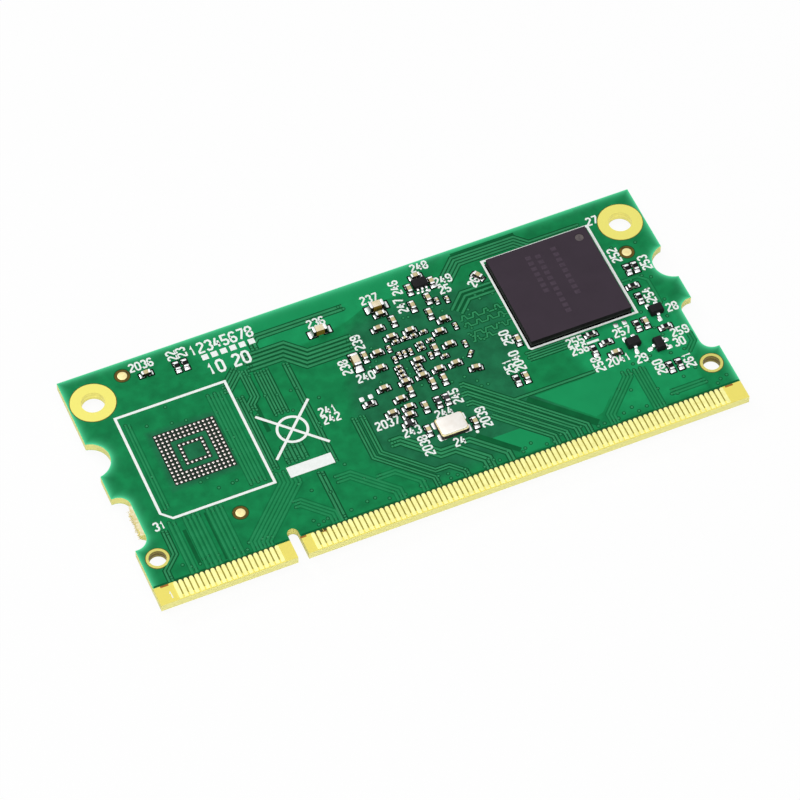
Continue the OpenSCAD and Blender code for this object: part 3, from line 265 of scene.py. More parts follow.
def make_finishes(colours):
    """Every finish by the record's slot, and a few that only the added detail uses."""
    mask = tuple(colours.mask)
    plain = (shade(mask, 0.94), shade(mask, 1.36))
    ridge = tuple(colours.mask_trace)
    dull = tuple(colours.mask_shade)
    gap = tuple(colours.mask_gap)
    pour = tuple(colours.mask_pour)
    rim = tuple(colours.mask_rim)
    laminate = tuple(colours.laminate)
    mould = tuple(colours.mould)
    ceramic = tuple(colours.ceramic)
    solder = tuple(colours.solder)
    ring = tuple(colours.ring)
    tin = linear("#e4e4e2")
    return {
        # Woven glass in epoxy: yellow face, and a paler routed edge where the thin layers end, made paler
        # still as a painted glow of light through the glass
        "laminate": finish(
            "glass_epoxy_laminate", laminate, linear("#efec9d"),
            patch=1.6, grain=0.15, relief=0.006, rough=0.6, specular=0.2, layer=0.16),
        # Photo-printed epoxy ink over copper: even green with a soft gloss and a slight orange peel, and a
        # painted glow, brighter at the board's edge, that stands in for light coming up through the glass
        "solder_mask": finish(
            "green_solder_mask", *plain,
            patch=1.3, grain=0.45, relief=0.004, rough=0.38, specular=0.06, rim=rim),
        # The same ink over a trace's ridge, thinner there: a little paler
        "mask_trace": finish(
            "green_solder_mask_ridge", ridge, shade(ridge, 0.82),
            patch=1.3, grain=0.45, relief=0.004, rough=0.36, specular=0.06),
        # The same ink over a broad sheet of copper: brighter and even, with the same painted glow at the
        # board's edge
        "mask_pour": finish(
            "green_solder_mask_pour", pour, shade(pour, 0.86),
            patch=4, grain=0.45, relief=0.004, rough=0.36, specular=0.06, rim=rim),
        # Painted light: the same ink a little brighter, with soft borders, on the right and back of the
        # board where more light falls
        "mask_painted_light": finish(
            "green_solder_painted_light", shade(pour, 0.84), shade(pour, 1.04),
            patch=1.3, grain=0.45, relief=0.004, rough=0.37, specular=0.06, under=plain, rim=rim),
        # The same ink over glass with only deep copper: dull green with soft borders
        "mask_shade": finish(
            "green_solder_mask_shade", shade(dull, 0.72), shade(dull, 1.1),
            patch=1.3, grain=0.4, relief=0.004, rough=0.4, specular=0.06, under=plain),
        # The same ink over bare laminate, where the light goes deeper: darker green
        "mask_gap": finish(
            "green_solder_mask_gap", gap, shade(gap, 1.3),
            patch=2, grain=0.45, relief=0.004, rough=0.42, specular=0.05),
        # The same where inner copper shines through: between the plain green and the gap's
        "mask_faint_gap": finish(
            "green_solder_mask_faint_gap", shade(mask, 0.8), shade(mask, 1.0),
            patch=1.3, grain=0.45, relief=0.004, rough=0.4, specular=0.05),
        # Ridges of traces on the inner layers: hardly paler than the plain green
        "mask_faint_trace": finish(
            "green_solder_mask_faint_ridge", linear("#1f844f"), linear("#268b57"),
            patch=1.3, grain=0.45, relief=0.004, rough=0.38, specular=0.06),
        # Broad strips with no copper: between the plain green and the gap's; the same green also paints a
        # shadow line along the coating's front edge
        "mask_bare_and_shadow": finish(
            "green_solder_bare_and_shadow", shade(gap, 1.25), shade(gap, 1.65),
            patch=1.3, grain=0.45, relief=0.004, rough=0.42, specular=0.05),
        # Brown resin that shows where the ink and the copper are both away
        "resin": finish(
            "bare_resin", tuple(colours.resin), linear("#6a5414"),
            patch=0.8, grain=0.1, relief=0.003, rough=0.6, specular=0.2),
        # Thin gold of a latch hole: olive ring, and a dark brown wall
        "latch_lining": finish(
            "thin_gold_lining", linear("#cfc768"), linear("#6a5416"),
            patch=0.6, grain=0.1, relief=0.003, rough=0.55, metallic=0.35, layer=0.5),
        # Thick gold of an alignment dot: paler than the rings
        "dot_gold": finish(
            "bare_alignment_dot", linear("#e4dca4"), linear("#dbc890"),
            patch=0.4, grain=0.1, relief=0.002, rough=0.45, metallic=1.0),
        # Olive resin between the contacts, where the copper was etched away
        "contact_gap": finish(
            "etched_contact_gap", linear("#8f8330"), linear("#a59840"),
            patch=0.5, grain=0.1, relief=0.003, rough=0.6, specular=0.2),
        # The same resin at the coating's edge, darkened as painted shade along the coating's step
        "contact_root": finish(
            "painted_shade_contact_gap", linear("#2b3314"), linear("#454a20"),
            patch=0.5, grain=0.1, relief=0.003, rough=0.6, specular=0.2),
        # Torn glass cloth where the panel tab was snapped: pale tufts with tan resin between
        "torn_glass": finish(
            "torn_glass_cloth", linear("#fbf4d2"), linear("#e3cf8c"),
            patch=0.3, grain=0.06, relief=0.01, rough=0.75, specular=0.15),
        # Copper stub of the plating bar, tarnished: red brown
        "copper_stub": finish(
            "tarnished_copper_stub", linear("#8a4a14"), linear("#b0782c"),
            patch=0.35, grain=0.1, relief=0.003, rough=0.6, specular=0.3),
        # Bare rim of a soldered pad, dark with flux, and near black as painted shade where the parts'
        # contact shadows fall
        "pad_rim": finish(
            "pad_rim_flux_and_painted_shade", linear("#04140b"), linear("#0a2615"),
            patch=0.4, grain=0.1, relief=0.003, rough=0.7, specular=0.03),
        # Fired black ceramic of the oscillator: matt
        "dark_ceramic": finish(
            "black_alumina", linear("#211d1b"), linear("#2c2724"),
            patch=0.4, grain=0.06, relief=0.002, rough=0.6, specular=0.25),
        # Barium titanate of the large capacitors: cream, with olive painted shade on its upright sides
        "pale_ceramic": finish(
            "pale_capacitor_ceramic", linear("#efe4cc"), linear("#e4d4a8"),
            patch=0.6, grain=0.05, relief=0.002, rough=0.45, specular=0.35, side=linear("#7d661e")),
        # Bare strip round each spare land, in the land's own shadow: nearly black
        "land_gap": finish(
            "land_clearance", linear("#07160d"), linear("#0d2417"),
            patch=0.4, grain=0.1, relief=0.003, rough=0.6, specular=0.2),
        # Painted shadow in a strip round the memory chip: black and matt
        "chip_painted_shadow": finish(
            "painted_shadow_chip_strip", linear("#020403"), linear("#050806"),
            patch=0.4, grain=0.1, relief=0.003, rough=0.8, specular=0.02),
        # Hard gold over nickel: pale, bright, with fine wipe marks
        "edge_gold": finish(
            "hard_gold_plating", tuple(colours.contact), linear("#ece796"),
            patch=0.5, grain=0.08, relief=0.001, rough=0.32, metallic=1.0),
        # Immersion gold over copper: soft yellow satin
        "ring_gold": finish(
            "immersion_gold", ring, linear("#f3dc7a"),
            patch=0.7, grain=0.12, relief=0.002, rough=0.5, metallic=0.35),
        # The same gold in a drilled wall, painted paler as painted light so that the shaded wall shows
        # bright
        "ring_lining": finish(
            "immersion_gold_lining", shade(ring, 0.91), linear("#fff68c"),
            patch=0.9, grain=0.12, relief=0.002, rough=0.5, metallic=0.6, layer=0.5),
        # Hot-dipped tin on bare lands: bright and slightly uneven
        "tinned_land": finish(
            "tinned_copper_land", solder, tin,
            patch=0.3, grain=0.06, relief=0.002, rough=0.3, metallic=1.0),
        # The spare chip's lands, tinned long ago: duller and faintly pink from the copper
        "spare_land": finish(
            "aged_tinned_land", linear("#d9cfcb"), linear("#c6bab6"),
            patch=0.3, grain=0.06, relief=0.002, rough=0.35, metallic=1.0),
        # Screen-printed epoxy ink: chalky white, matt
        "white_ink": finish(
            "white_screen_ink", tuple(colours.ink), linear("#eff4f0"),
            patch=0.4, grain=0.08, relief=0.004, rough=0.7, specular=0.2),
        # Reflowed tin alloy: bright, smooth, faintly frosted, with painted shade on its steep sides
        "solder": finish(
            "reflowed_solder", solder, linear("#dcddde"),
            patch=0.25, grain=0.05, relief=0.002, rough=0.26, metallic=1.0, side=linear("#504e4a")),
        # Chip carrier laminate: dark green, satin
        "chip_carrier": finish(
            "chip_carrier_laminate", linear("#0f1611"), linear("#151f18"),
            patch=0.8, grain=0.1, relief=0.003, rough=0.55, specular=0.25),
        # Large moulded chips: dark purple-grey epoxy with a fine spark-eroded grain, and near-black painted
        # shade on the upright sides
        "epoxy_mould": finish(
            "moulded_epoxy", mould, shade(mould, 1.12),
            patch=2.2, grain=0.09, relief=0.004, rough=0.62, specular=0.12, side=linear("#0b090b")),
        # Laser mark: the mould's surface burnt to a paler grey
        "laser_mark": finish(
            "laser_mark", shade(mould, 1.9), shade(mould, 1.4),
            patch=0.3, grain=0.07, relief=0.003, rough=0.75, specular=0.15),
        # Floor of the moulded dimple, polished by the ejector pin: paler grey
        "dimple": finish(
            "polished_dimple", linear("#6c6462"), linear("#514a4d"),
            patch=0.4, grain=0.07, relief=0.002, rough=0.5, specular=0.2),
        # Small moulded packages: near black, satin
        "package_black": finish(
            "black_moulded_epoxy", linear("#0c0b0d"), linear("#141316"),
            patch=0.5, grain=0.06, relief=0.003, rough=0.55, specular=0.14),
        # Tin-plated copper leads: bright, a little frosted
        "tinned_lead": finish(
            "tinned_copper_lead", solder, tin,
            patch=0.2, grain=0.05, relief=0.001, rough=0.3, metallic=1.0),
        # Fired alumina: warm white, chalky, with grey painted shade on its upright sides
        "alumina": finish(
            "alumina_ceramic", linear("#ece8dc"), linear("#dcd7c8"),
            patch=0.4, grain=0.06, relief=0.002, rough=0.6, specular=0.3, side=linear("#8d897e")),
        # Plated metal lid: warm white satin
        "lid_metal": finish(
            "plated_lid", linear("#f2eee8"), linear("#eae4dc"),
            patch=0.7, grain=0.08, relief=0.001, rough=0.4, metallic=0.4),
        # Thin gold of the oscillator's seal: pale cream
        "seal_gold": finish(
            "seal_plating", linear("#f2e8bc"), linear("#e6d898"),
            patch=0.5, grain=0.08, relief=0.001, rough=0.4, metallic=0.4),
        # Fired barium titanate: tan and slightly glossy, with dark painted shade on its upright sides
        "capacitor_ceramic": finish(
            "capacitor_ceramic", ceramic, shade(ceramic, 0.72),
            patch=0.5, grain=0.05, relief=0.002, rough=0.45, specular=0.35, side=linear("#20170c")),
        # Fired silver ends under tin: bright, soft sheen, with dark painted shade on their upright sides
        "tinned_end": finish(
            "tinned_silver_end", solder, tin,
            patch=0.25, grain=0.05, relief=0.002, rough=0.34, metallic=1.0, side=linear("#34322f")),
        # Glass glaze over the resistor film: glossy black
        "resistor_glaze": finish(
            "black_glass_glaze", linear("#0b0a0c"), linear("#131215"),
            patch=0.3, grain=0.05, relief=0.001, rough=0.35, specular=0.1),
        # Pressed ferrite: dark grey, matt, grainy
        "ferrite": finish(
            "pressed_ferrite", linear("#2d2a2d"), linear("#3a363a"),
            patch=0.3, grain=0.05, relief=0.003, rough=0.6, specular=0.3),
    }


# Made by the finishes step
FINISHES = {}

# Edges that turn by more than this stay sharp
SHARP_ANGLE = math.radians(38)
# Most of a half width that a corner's radius may take, and of a half width or height that an edge's may
CORNER_SHARE = 0.9
EDGE_SHARE = 0.45
# Least of one plus the cosine of a path's turn, which divides the move at its corners
MITRE_LEAST = 0.5


def loft(rings, wrap=False):
    """Closed skins over stacks of closed rings, given as skins by rings by points by three.

    Quads join each ring to the next. One face closes each end, or with wrap the last ring joins the first.
    A skin whose signed volume is negative is turned round, so that its faces look outwards.
    """
    count, levels, around = rings.shape[:3]
    level, step = np.meshgrid(np.arange(levels if wrap else levels - 1), np.arange(around), indexing="ij")
    here = level * around
    above = (level + 1) % levels * around
    onward = (step + 1) % around
    quads = np.stack([here + step, here + onward, above + onward, above + step], axis=-1).reshape(-1, 4)
    end = np.arange(around)
    caps = np.zeros((0, around), int) if wrap else np.stack([end[::-1], end + (levels - 1) * around])
    points = rings.reshape(count, -1, 3)
    local = points - points.mean(axis=1, keepdims=True)
    volume = np.zeros(count)
    for faces in (quads, caps):
        for i in range(1, faces.shape[1] - 1):
            normals = np.cross(local[:, faces[:, i]], local[:, faces[:, i + 1]])
            volume += np.sum(local[:, faces[:, 0]] * normals, axis=(1, 2))
    shift = (np.arange(count) * levels * around)[:, None, None]
    made = []
    for faces in (quads, caps):
        turned = np.where((volume < 0)[:, None, None], faces[:, ::-1], faces)
        made.append((turned + shift).reshape(-1, faces.shape[1]))
    return points.reshape(-1, 3), made


def join(skins):
    """Several skins as one list of points and one list of faces."""
    points = []
    faces = []
    start = 0
    for skin_points, skin_faces in skins:
        points.append(skin_points)
        faces.extend((f + start) for f in skin_faces if len(f))
        start += len(skin_points)
    return np.vstack(points), faces


def add_piece(name, skin, finish_name, stands_for=()):
    """Makes one mesh object from a skin, with its finish, body, slot and the CAD nodes it stands for."""
    points, faces = skin
    mesh = bpy.data.meshes.new(name)
    mesh.from_pydata(points.tolist(), [], [face for group in faces for face in group.tolist()])
    mesh.polygons.foreach_set("use_smooth", np.ones(len(mesh.polygons), bool))
    mesh.set_sharp_from_angle(angle=SHARP_ANGLE)
    mesh.update()
    piece = bpy.data.objects.new(name, mesh)
    bpy.context.scene.collection.objects.link(piece)
    piece.data.materials.append(FINISHES[finish_name])
    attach(piece, BODY)
    if stands_for:
        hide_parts(*stands_for)
    return piece


def side_of(node):
    """1 for a node on the upper half of the board, and -1 for one on the lower half."""
    low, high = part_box(node)
    return 1.0 if (low.z + high.z) / 2 > BOARD_MIDDLE_Z else -1.0


def solids(node):
    """Corner points of each solid of a CAD node, as solids by corners by three.

    Points that share triangles take the lowest label among them until nothing changes, so that each
    solid ends with one label.
    """
    mesh = frame["nodes"][node].data
    points = np.empty(len(mesh.vertices) * 3, np.float32)
    mesh.vertices.foreach_get("co", points)
    corners = np.empty(len(mesh.loops), np.int32)
    mesh.loops.foreach_get("vertex_index", corners)
    unique, index = np.unique(points.reshape(-1, 3), axis=0, return_inverse=True)
    triangles = index.ravel()[corners].reshape(-1, 3)
    label = np.arange(len(unique))
    while True:
        lower = label.copy()
        np.minimum.at(lower, triangles.ravel(), np.repeat(label[triangles].min(axis=1), 3))
        if (lower == label).all():
            break
        label = lower
    order = np.argsort(label, kind="stable")
    return unique[order].reshape(len(np.unique(label)), -1, 3).astype(float)


def boxes(node):
    """Base middle, two level directions, half sizes, height and up sign of each box in a CAD node.

    The four corners next to the board are sorted by distance from the first of them, and the nearest
    two give the box's sides.
    """
    corners = solids(node)
    up = side_of(node)
    order = np.argsort(corners[:, :, 2] * up, axis=1, kind="stable")[:, :4, None]
    low = np.take_along_axis(corners, order, axis=1)
    order = np.argsort(np.linalg.norm(low - low[:, :1], axis=2), axis=1)[:, :, None]
    low = np.take_along_axis(low, order, axis=1)
    first = low[:, 1] - low[:, 0]
    second = low[:, 2] - low[:, 0]
    half = np.stack([np.linalg.norm(first, axis=1), np.linalg.norm(second, axis=1)], axis=1) / 2
    height = np.ptp(corners[:, :, 2], axis=1)
    return low.mean(axis=1), first / (2 * half[:, :1]), second / (2 * half[:, 1:]), half, height, up


def rectangle_rings(half, inset, corner, steps=1):
    """Rounded rectangles: straight sides inset from half sizes, with quarter circles at the corners.

    Half is skins by two, inset is skins by rings, and the result is skins by rings by points by two.
    """
    turn = np.linspace(0, math.pi / 2, steps + 1)
    angle = (np.arange(4)[:, None] * math.pi / 2 + turn).ravel()
    sign = np.repeat(np.array([[1, 1], [-1, 1], [-1, -1], [1, -1]]), steps + 1, axis=0)
    room = half[:, None, :] - inset[:, :, None]
    radius = np.minimum(corner, room.min(axis=2) * CORNER_SHARE)[:, :, None, None]
    circle = np.stack([np.cos(angle), np.sin(angle)], axis=-1)
    return sign * (room[:, :, None, :] - radius) + radius * circle


def stacked(base, along, across, flat, rise, up):
    """Places flat rings at their heights in each box's own directions."""
    return (base[:, None, None, :] + along[:, None, None, :] * flat[..., :1]
            + across[:, None, None, :] * flat[..., 1:]
            + np.array([0, 0, up]) * rise[:, :, None, None])


def level_stack(spots, flat, rise, up=1.0):
    """Places flat rings as above, along the board's own length and width."""
    length = np.tile([1.0, 0, 0], (len(spots), 1))
    width = np.tile([0, 1.0, 0], (len(spots), 1))
    return stacked(spots, length, width, flat, rise, up)


def rounded_boxes(node, edge, corner, draft=0.0, steps=1):
    """Boxes of a CAD node with rounded upper edges and corners; with draft they are widest at mid height.

    Heights climb the wall and then a quarter circle of the edge's radius; the inset follows the circle.
    """
    base, along, across, half, height, up = boxes(node)
    edge = min(edge * MM, EDGE_SHARE * half.min(), EDGE_SHARE * height.min())
    draft = draft * MM
    arc = np.radians([0, 45, 90])
    inset = np.concatenate([[draft, 0.0], draft + edge * (1 - np.cos(arc))])
    rise = np.concatenate([np.stack([0 * height, height / 2], axis=1),
                           height[:, None] - edge * (1 - np.sin(arc))], axis=1)
    flat = rectangle_rings(half, np.tile(inset, (len(half), 1)), corner * MM, steps)
    return loft(stacked(base, along, across, flat, rise, up))


def turned(spots, radii, heights, around, up=1.0):
    """Turned shapes: rings of the given radii at the given heights above each spot."""
    angle = np.linspace(0, 2 * math.pi, around, endpoint=False)
    circle = np.stack([np.cos(angle), np.sin(angle), 0 * angle], axis=-1)
    rise = np.array(heights)[:, None, None] * np.array([0, 0, up])
    return spots[:, None, None, :] + np.array(radii)[:, None, None] * circle + rise


def flat_rings(spots, inner, outer, thickness, around, up=1.0):
    """Flat washers: four rings at the two radii and two heights, joined in a loop."""
    rings = turned(spots, [inner, outer, outer, inner], [0, 0, thickness, thickness], around, up)
    return loft(rings, wrap=True)


def offset_path(points, shift):
    """Moves a path sideways: a corner goes along the sum of its two side normals, so both runs move alike.

    At a sharp corner the move is held to about twice the shift, so that it makes no spike.
    """
    runs = np.diff(points, axis=0)
    runs = runs / np.linalg.norm(runs, axis=1)[:, None]
    side = np.stack([-runs[:, 1], runs[:, 0]], axis=1)
    before = np.vstack([side[:1], side])
    after = np.vstack([side, side[-1:]])
    spread = np.maximum(1 + np.sum(before * after, axis=1), MITRE_LEAST)
    return points + shift * (before + after) / spread[:, None]


def ribbon(path, width, base_z, rise, taper=0.75):
    """Low ridge along a path: a trapezium carried along it, with mitred corners."""
    path = np.asarray(path, float)
    half = width / 2
    edges = [offset_path(path, s) for s in (-half, half, half * taper, -half * taper)]
    levels = (base_z, base_z, base_z + rise, base_z + rise)
    ring = [np.column_stack([e, np.full(len(path), z)]) for e, z in zip(edges, levels)]
    return loft(np.stack(ring, axis=1)[None])


# Bundles of traces on the upper face: how many, their spacing and the path of the first, in millimetres
UPPER_TRACES = (
    (2, 0.45, ((-12.3, 11.3), (-12.3, 12.0), (-11.7, 12.6), (-1.6, 12.6))),
    (5, 0.52, ((-14.2, 8.9), (-10.2, 8.9), (-8.2, 6.9), (-2.4, 6.9))),
    (2, 0.36, ((-10.4, 8.3), (-10.4, -5.9))),
    (5, 0.34, ((-13.7, 8.4), (-13.7, 2.3))),
    (3, 0.34, ((-15.2, 9.2), (-15.2, 5.6), (-16.0, 4.8), (-16.0, 3.8))),
    (4, 0.36, ((-17.6, 7.2), (-16.9, 7.2), (-14.9, 9.2))),
    (3, 0.34, ((-16.8, 6.0), (-16.8, -4.2))),
    (6, 0.42, ((-14.8, -1.8), (-14.8, -4.1))),
    (2, 0.36, ((-30.3, -6.9), (-30.3, -10.0), (-31.9, -11.6), (-31.9, -13.1))),
    (2, 0.34, ((-6.4, -1.4), (-6.4, -7.0), (-1.5, -11.9), (-1.5, -13.1))),
    (2, 0.34, ((-5.5, -1.4), (-5.5, -6.7), (-1.0, -11.2), (0.6, -11.2), (1.8, -12.4), (1.8, -13.1))),
    (3, 0.42, ((-3.9, -6.4), (-3.0, -6.4), (0.3, -9.7), (2.0, -9.7), (4.3, -12.0), (4.3, -13.1))),
    (2, 0.4, ((-12.4, -6.4), (-12.4, -13.1))),
    (2, 0.36, ((5.9, -2.1), (6.2, -2.1), (16.1, -12.0), (16.1, -13.1))),
    (2, 0.36, ((5.6, -3.3), (6.2, -3.3), (14.9, -12.0), (14.9, -13.1))),
    (2, 0.36, ((5.6, -4.6), (6.2, -4.6), (13.6, -12.0), (13.6, -13.1))),
    (2, 0.36, ((7.3, -7.0), (12.3, -12.0), (12.3, -13.1))),
    (2, 0.42, ((3.4, -9.0), (3.9, -9.0), (6.9, -12.0), (6.9, -13.1))),
    (1, 0.4, ((10.6, -5.9), (19.9, -5.9))),
    (4, -0.4, ((9.6, 12.1), (11.9, 14.4), (19.4, 14.4), (20.7, 13.1), (26.6, 13.1))),
    (3, -0.6, ((9.2, 7.8), (11.0, 9.6), (14.6, 9.6))),
    (4, -0.34, ((14.2, -0.8), (18.7, -0.8))),
)

# Bundles that show only faintly, as above
FAINT_TRACES = (
    (2, 0.5, ((-29.3, -6.1), (-29.3, -13.1))),
    (4, 0.5, ((-27.6, -6.1), (-27.6, -13.1))),
    (4, 0.5, ((-25.0, -6.1), (-25.0, -13.1))),
    (2, 0.36, ((-29.0, 7.4), (-29.0, -4.4))),
    (5, 0.4, ((-19.5, 7.6), (-19.5, -5.0))),
    (6, 0.4, ((-16.6, -4.8), (-16.6, -6.0), (-22.3, -11.7), (-22.3, -13.1))),
    (2, 0.4, ((-7.0, -9.7), (-5.0, -9.7), (-3.0, -11.7), (-3.0, -13.1))),
    (3, 0.4, ((-11.0, -8.4), (-9.6, -8.4), (-6.0, -12.0), (-6.0, -13.1))),
    (3, 0.4, ((-16.3, -9.6), (-15.8, -9.6), (-13.4, -12.0), (-13.4, -13.1))),
    (3, 0.36, ((22.6, -7.2), (22.6, -7.8), (18.8, -11.6), (18.8, -13.1))),
    (4, 0.36, ((23.9, -7.4), (23.9, -13.1))),
    (2, 0.4, ((26.3, -11.9), (30.4, -11.9))),
    (1, 0.4, ((27.9, 4.0), (29.6, 4.0), (30.5, 3.1), (30.5, -0.3))),
    (2, -0.34, ((31.7, -5.2), (31.7, -6.4), (30.6, -7.5))),
)

# Wide strips without copper on the upper face, and last two a painted shadow line along the coating's front
# edge: width and path in millimetres
UPPER_BARE_AND_SHADOW = (
    (0.9, ((11.7, -6.45), (17.5, -12.25))), (0.6, ((4.85, -8.6), (8.45, -12.2))),
    (0.4, ((19.6, 14.75), (12.0, 14.75))), (0.42, ((-28.15, -7.6), (-28.15, -12.2))),
    (0.3, ((-25.35, -6.4), (-25.35, -12.8))), (0.2, ((-27.02, -6.3), (-27.02, -10.6))),
    (0.2, ((-23.68, -8.8), (-23.68, -12.8))), (0.25, ((-29.05, -7.0), (-29.05, -11.0))),
    (0.3, ((-12.35, 5.9), (-12.35, 3.4))), (0.5, ((-15.2, 4.4), (-15.2, 0.6))),
    # The strips at height -13.08 are a painted shadow line along the coating's front edge
    (0.6, ((-17.9, -2.2), (-17.9, -4.6))), (0.22, ((-33.7, -13.08), (-18.6, -13.08))),
    (0.22, ((-17.1, -13.08), (33.7, -13.08))),
)

# Sheets of copper, areas with little of it and areas of painted light, brighter where more light falls, on
# the
# upper face: corners in millimetres
UPPER_POURS = (
    ((6.3, -9.6), (9.5, -9.6), (11.9, -12.0), (11.6, -12.8), (8.9, -12.8), (7.4, -10.9)),
    ((12.7, -6.3), (21.4, -6.3), (22.1, -7.6), (18.5, -11.2), (17.6, -11.4)),
    ((-11.4, 13.4), (7.0, 13.4), (7.0, 15.3), (-11.4, 15.3)),
    ((12.2, 15.0), (27.0, 15.0), (27.0, 15.35), (12.2, 15.35)),
)
UPPER_SHADES = (
    ((-6.8, -1.0), (-5.0, 5.0), (-2.6, 10.6), (0.8, 12.0), (8.6, 11.8), (14.9, 10.6), (14.9, 0.8),
     (12.0, -2.4), (13.0, -6.4), (18.6, -12.9), (8.0, -12.9), (-2.6, -12.9), (-7.2, -7.6)),
    ((-27.7, -2.9), (-19.1, -2.9), (-19.1, 5.8), (-27.7, 5.8)),
)
UPPER_PAINTED_LIGHT = (
    ((17.5, -0.9), (31.6, 0.4), (31.6, -7.6), (30.4, -8.8), (30.4, -12.9), (20.0, -12.9)),
    ((-19.4, 15.3), (-19.4, 10.4), (-8.0, 9.6), (8.0, 12.4), (8.0, 15.3)),
)

# Wavy traces that wait for their neighbours: start, end, height and swing in millimetres
WAVY_TRACES = ((9.4, 14.6, 6.0, 0.55), (9.4, 14.6, 5.0, 0.5), (9.4, 14.6, 4.1, -0.5), (9.6, 12.4, 2.9, 0.5))
# Their width, the width of their gap, the length of a tooth and the corners of a tooth along it
WAVY_WIDTH = 0.2
WAVY_GAP = 0.4
WAVY_TOOTH = 1.2
WAVY_CORNERS = np.array([0.25, 0.4, 0.7, 0.85])

# Bundles of traces on the lower face, as for the upper one
LOWER_TRACES = (
    (5, 0.5, ((-27.0, -13.1), (-27.0, -6.0), (-22.0, -1.0), (-17.4, -1.0))),
    (6, 0.45, ((-9.0, -13.1), (-9.0, -10.4), (-5.6, -7.0), (-5.6, 8.0))),
    (8, 0.45, ((2.0, -13.1), (2.0, -9.0))),
    (6, 0.45, ((12.0, -13.1), (12.0, -2.0), (14.0, 0.0), (18.2, 0.0))),
    (5, 0.5, ((29.0, -13.1), (29.0, 4.6), (27.1, 6.5), (25.0, 6.5))),
    (4, 0.45, ((-26.4, 11.5), (-8.0, 11.5), (-6.0, 9.5))),
    (4, 0.5, ((11.4, 12.6), (24.0, 12.6), (26.0, 10.6))),
)

# Vias, in millimetres: how far every second trace of a bundle runs past its via, and the least room to the
# coating's front edge, how far they may lie along the board, and the least room to the parts and between
# two middles
VIA_STAGGER = 0.45
VIA_TO_FRONT = 0.35
VIA_REACH = LAMINATE_HIGH.x / MM - 0.5
VIA_TO_PART = 0.3
VIA_SPACING = 0.5
# Radius and height at each ring of a via, as shares of half its width and of a trace's rise, and points
# around
VIA_PROFILE = np.array([[1, 0], [0.92, 1.3], [0.6, 1.3], [0.5, 0.6], [0.3, 0.5]]).T
VIA_POINTS = 8
# The dark ring round a via: its radii as shares of half the via's width, and its height in trace rises
VIA_CLEARANCE = (0.8, 1.5)
VIA_CLEAR_RISE = 1.1
# Nodes that a via needs no room to
VIA_IGNORES = ("laminate_board", "upper_coating", "lower_coating", "printed_outlines", "printed_target")
# Areas with scattered vias: low x, low y, high x, high y in millimetres and how many; and their seed
VIA_SEED = 7
VIA_FIELDS = (
    (-15.5, -12.8, 33.0, -11.7, 74), (-2.5, -3.5, 9.8, 9.5, 70), (20.0, -11.0, 31.0, -0.6, 34),
    (27.8, -2.0, 31.5, 9.0, 14), (-31.0, -12.8, -19.0, -11.6, 20), (-29.2, -5.0, -17.6, 8.0, 40),
    (-16.0, -9.5, -8.0, 9.0, 34), (9.0, 2.0, 14.4, 12.0, 26),
)

# Finish of each kind of skin that a bundle has, in the order they are made
TRACE_FINISHES = {
    "faint_gaps": "mask_faint_gap", "faint_traces": "mask_faint_trace", "trace_gaps": "mask_gap",
    "traces": "mask_trace",
}
# Steps in height, in millimetres, that keep the faces of bundles and of bare strips off a common plane
BUNDLE_STEP = 0.0001
BARE_STEP = 0.00002
# Heights of the flat patches, as shares of the film; for the soft ones with their finish and areas
FAINT_SHARE = 0.7
BARE_SHARE = 0.96
POUR_SHARE = 0.6
# The first soft patches are painted light on the right and back; the second are dull green
SOFT_PATCHES = (("mask_painted_light", UPPER_PAINTED_LIGHT, 0.2), ("mask_shade", UPPER_SHADES, 0.4))
# Inner ring of a soft patch: its size and height as shares of the outer one's
SOFT_INNER = 0.85
SOFT_RISE = 1.05
# Height over the outer ring, in millimetres, past which a point is on the inner one
FADE_STEP = 0.00001

# Grid of the digits: rows in a digit's height, and in rows the width of a column, a digit's advance and the
# space after it
GRID_ROWS = 6
GRID_COLUMN = 0.7
DIGIT_ADVANCE = 4.3
DIGIT_SPACE = 1.5
# Strokes of each digit on that grid, each place written as its column and row, with a slash between strokes
DIGITS = (
    "01 05 16 36 45 41 30 10 01", "14 26 20", "05 16 36 45 44 01 00 40",
    "05 16 36 45 44 33 42 41 30 10 01", "26 02 42/34 30", "46 06 03 33 42 41 30 10 01",
    "45 36 16 05 01 10 30 41 42 33 03", "06 46 45 10", "13 04 05 16 36 45 44 33 13 02 01 10 30 41 42 33",
    "01 10 30 41 45 36 16 05 04 13 43",
)

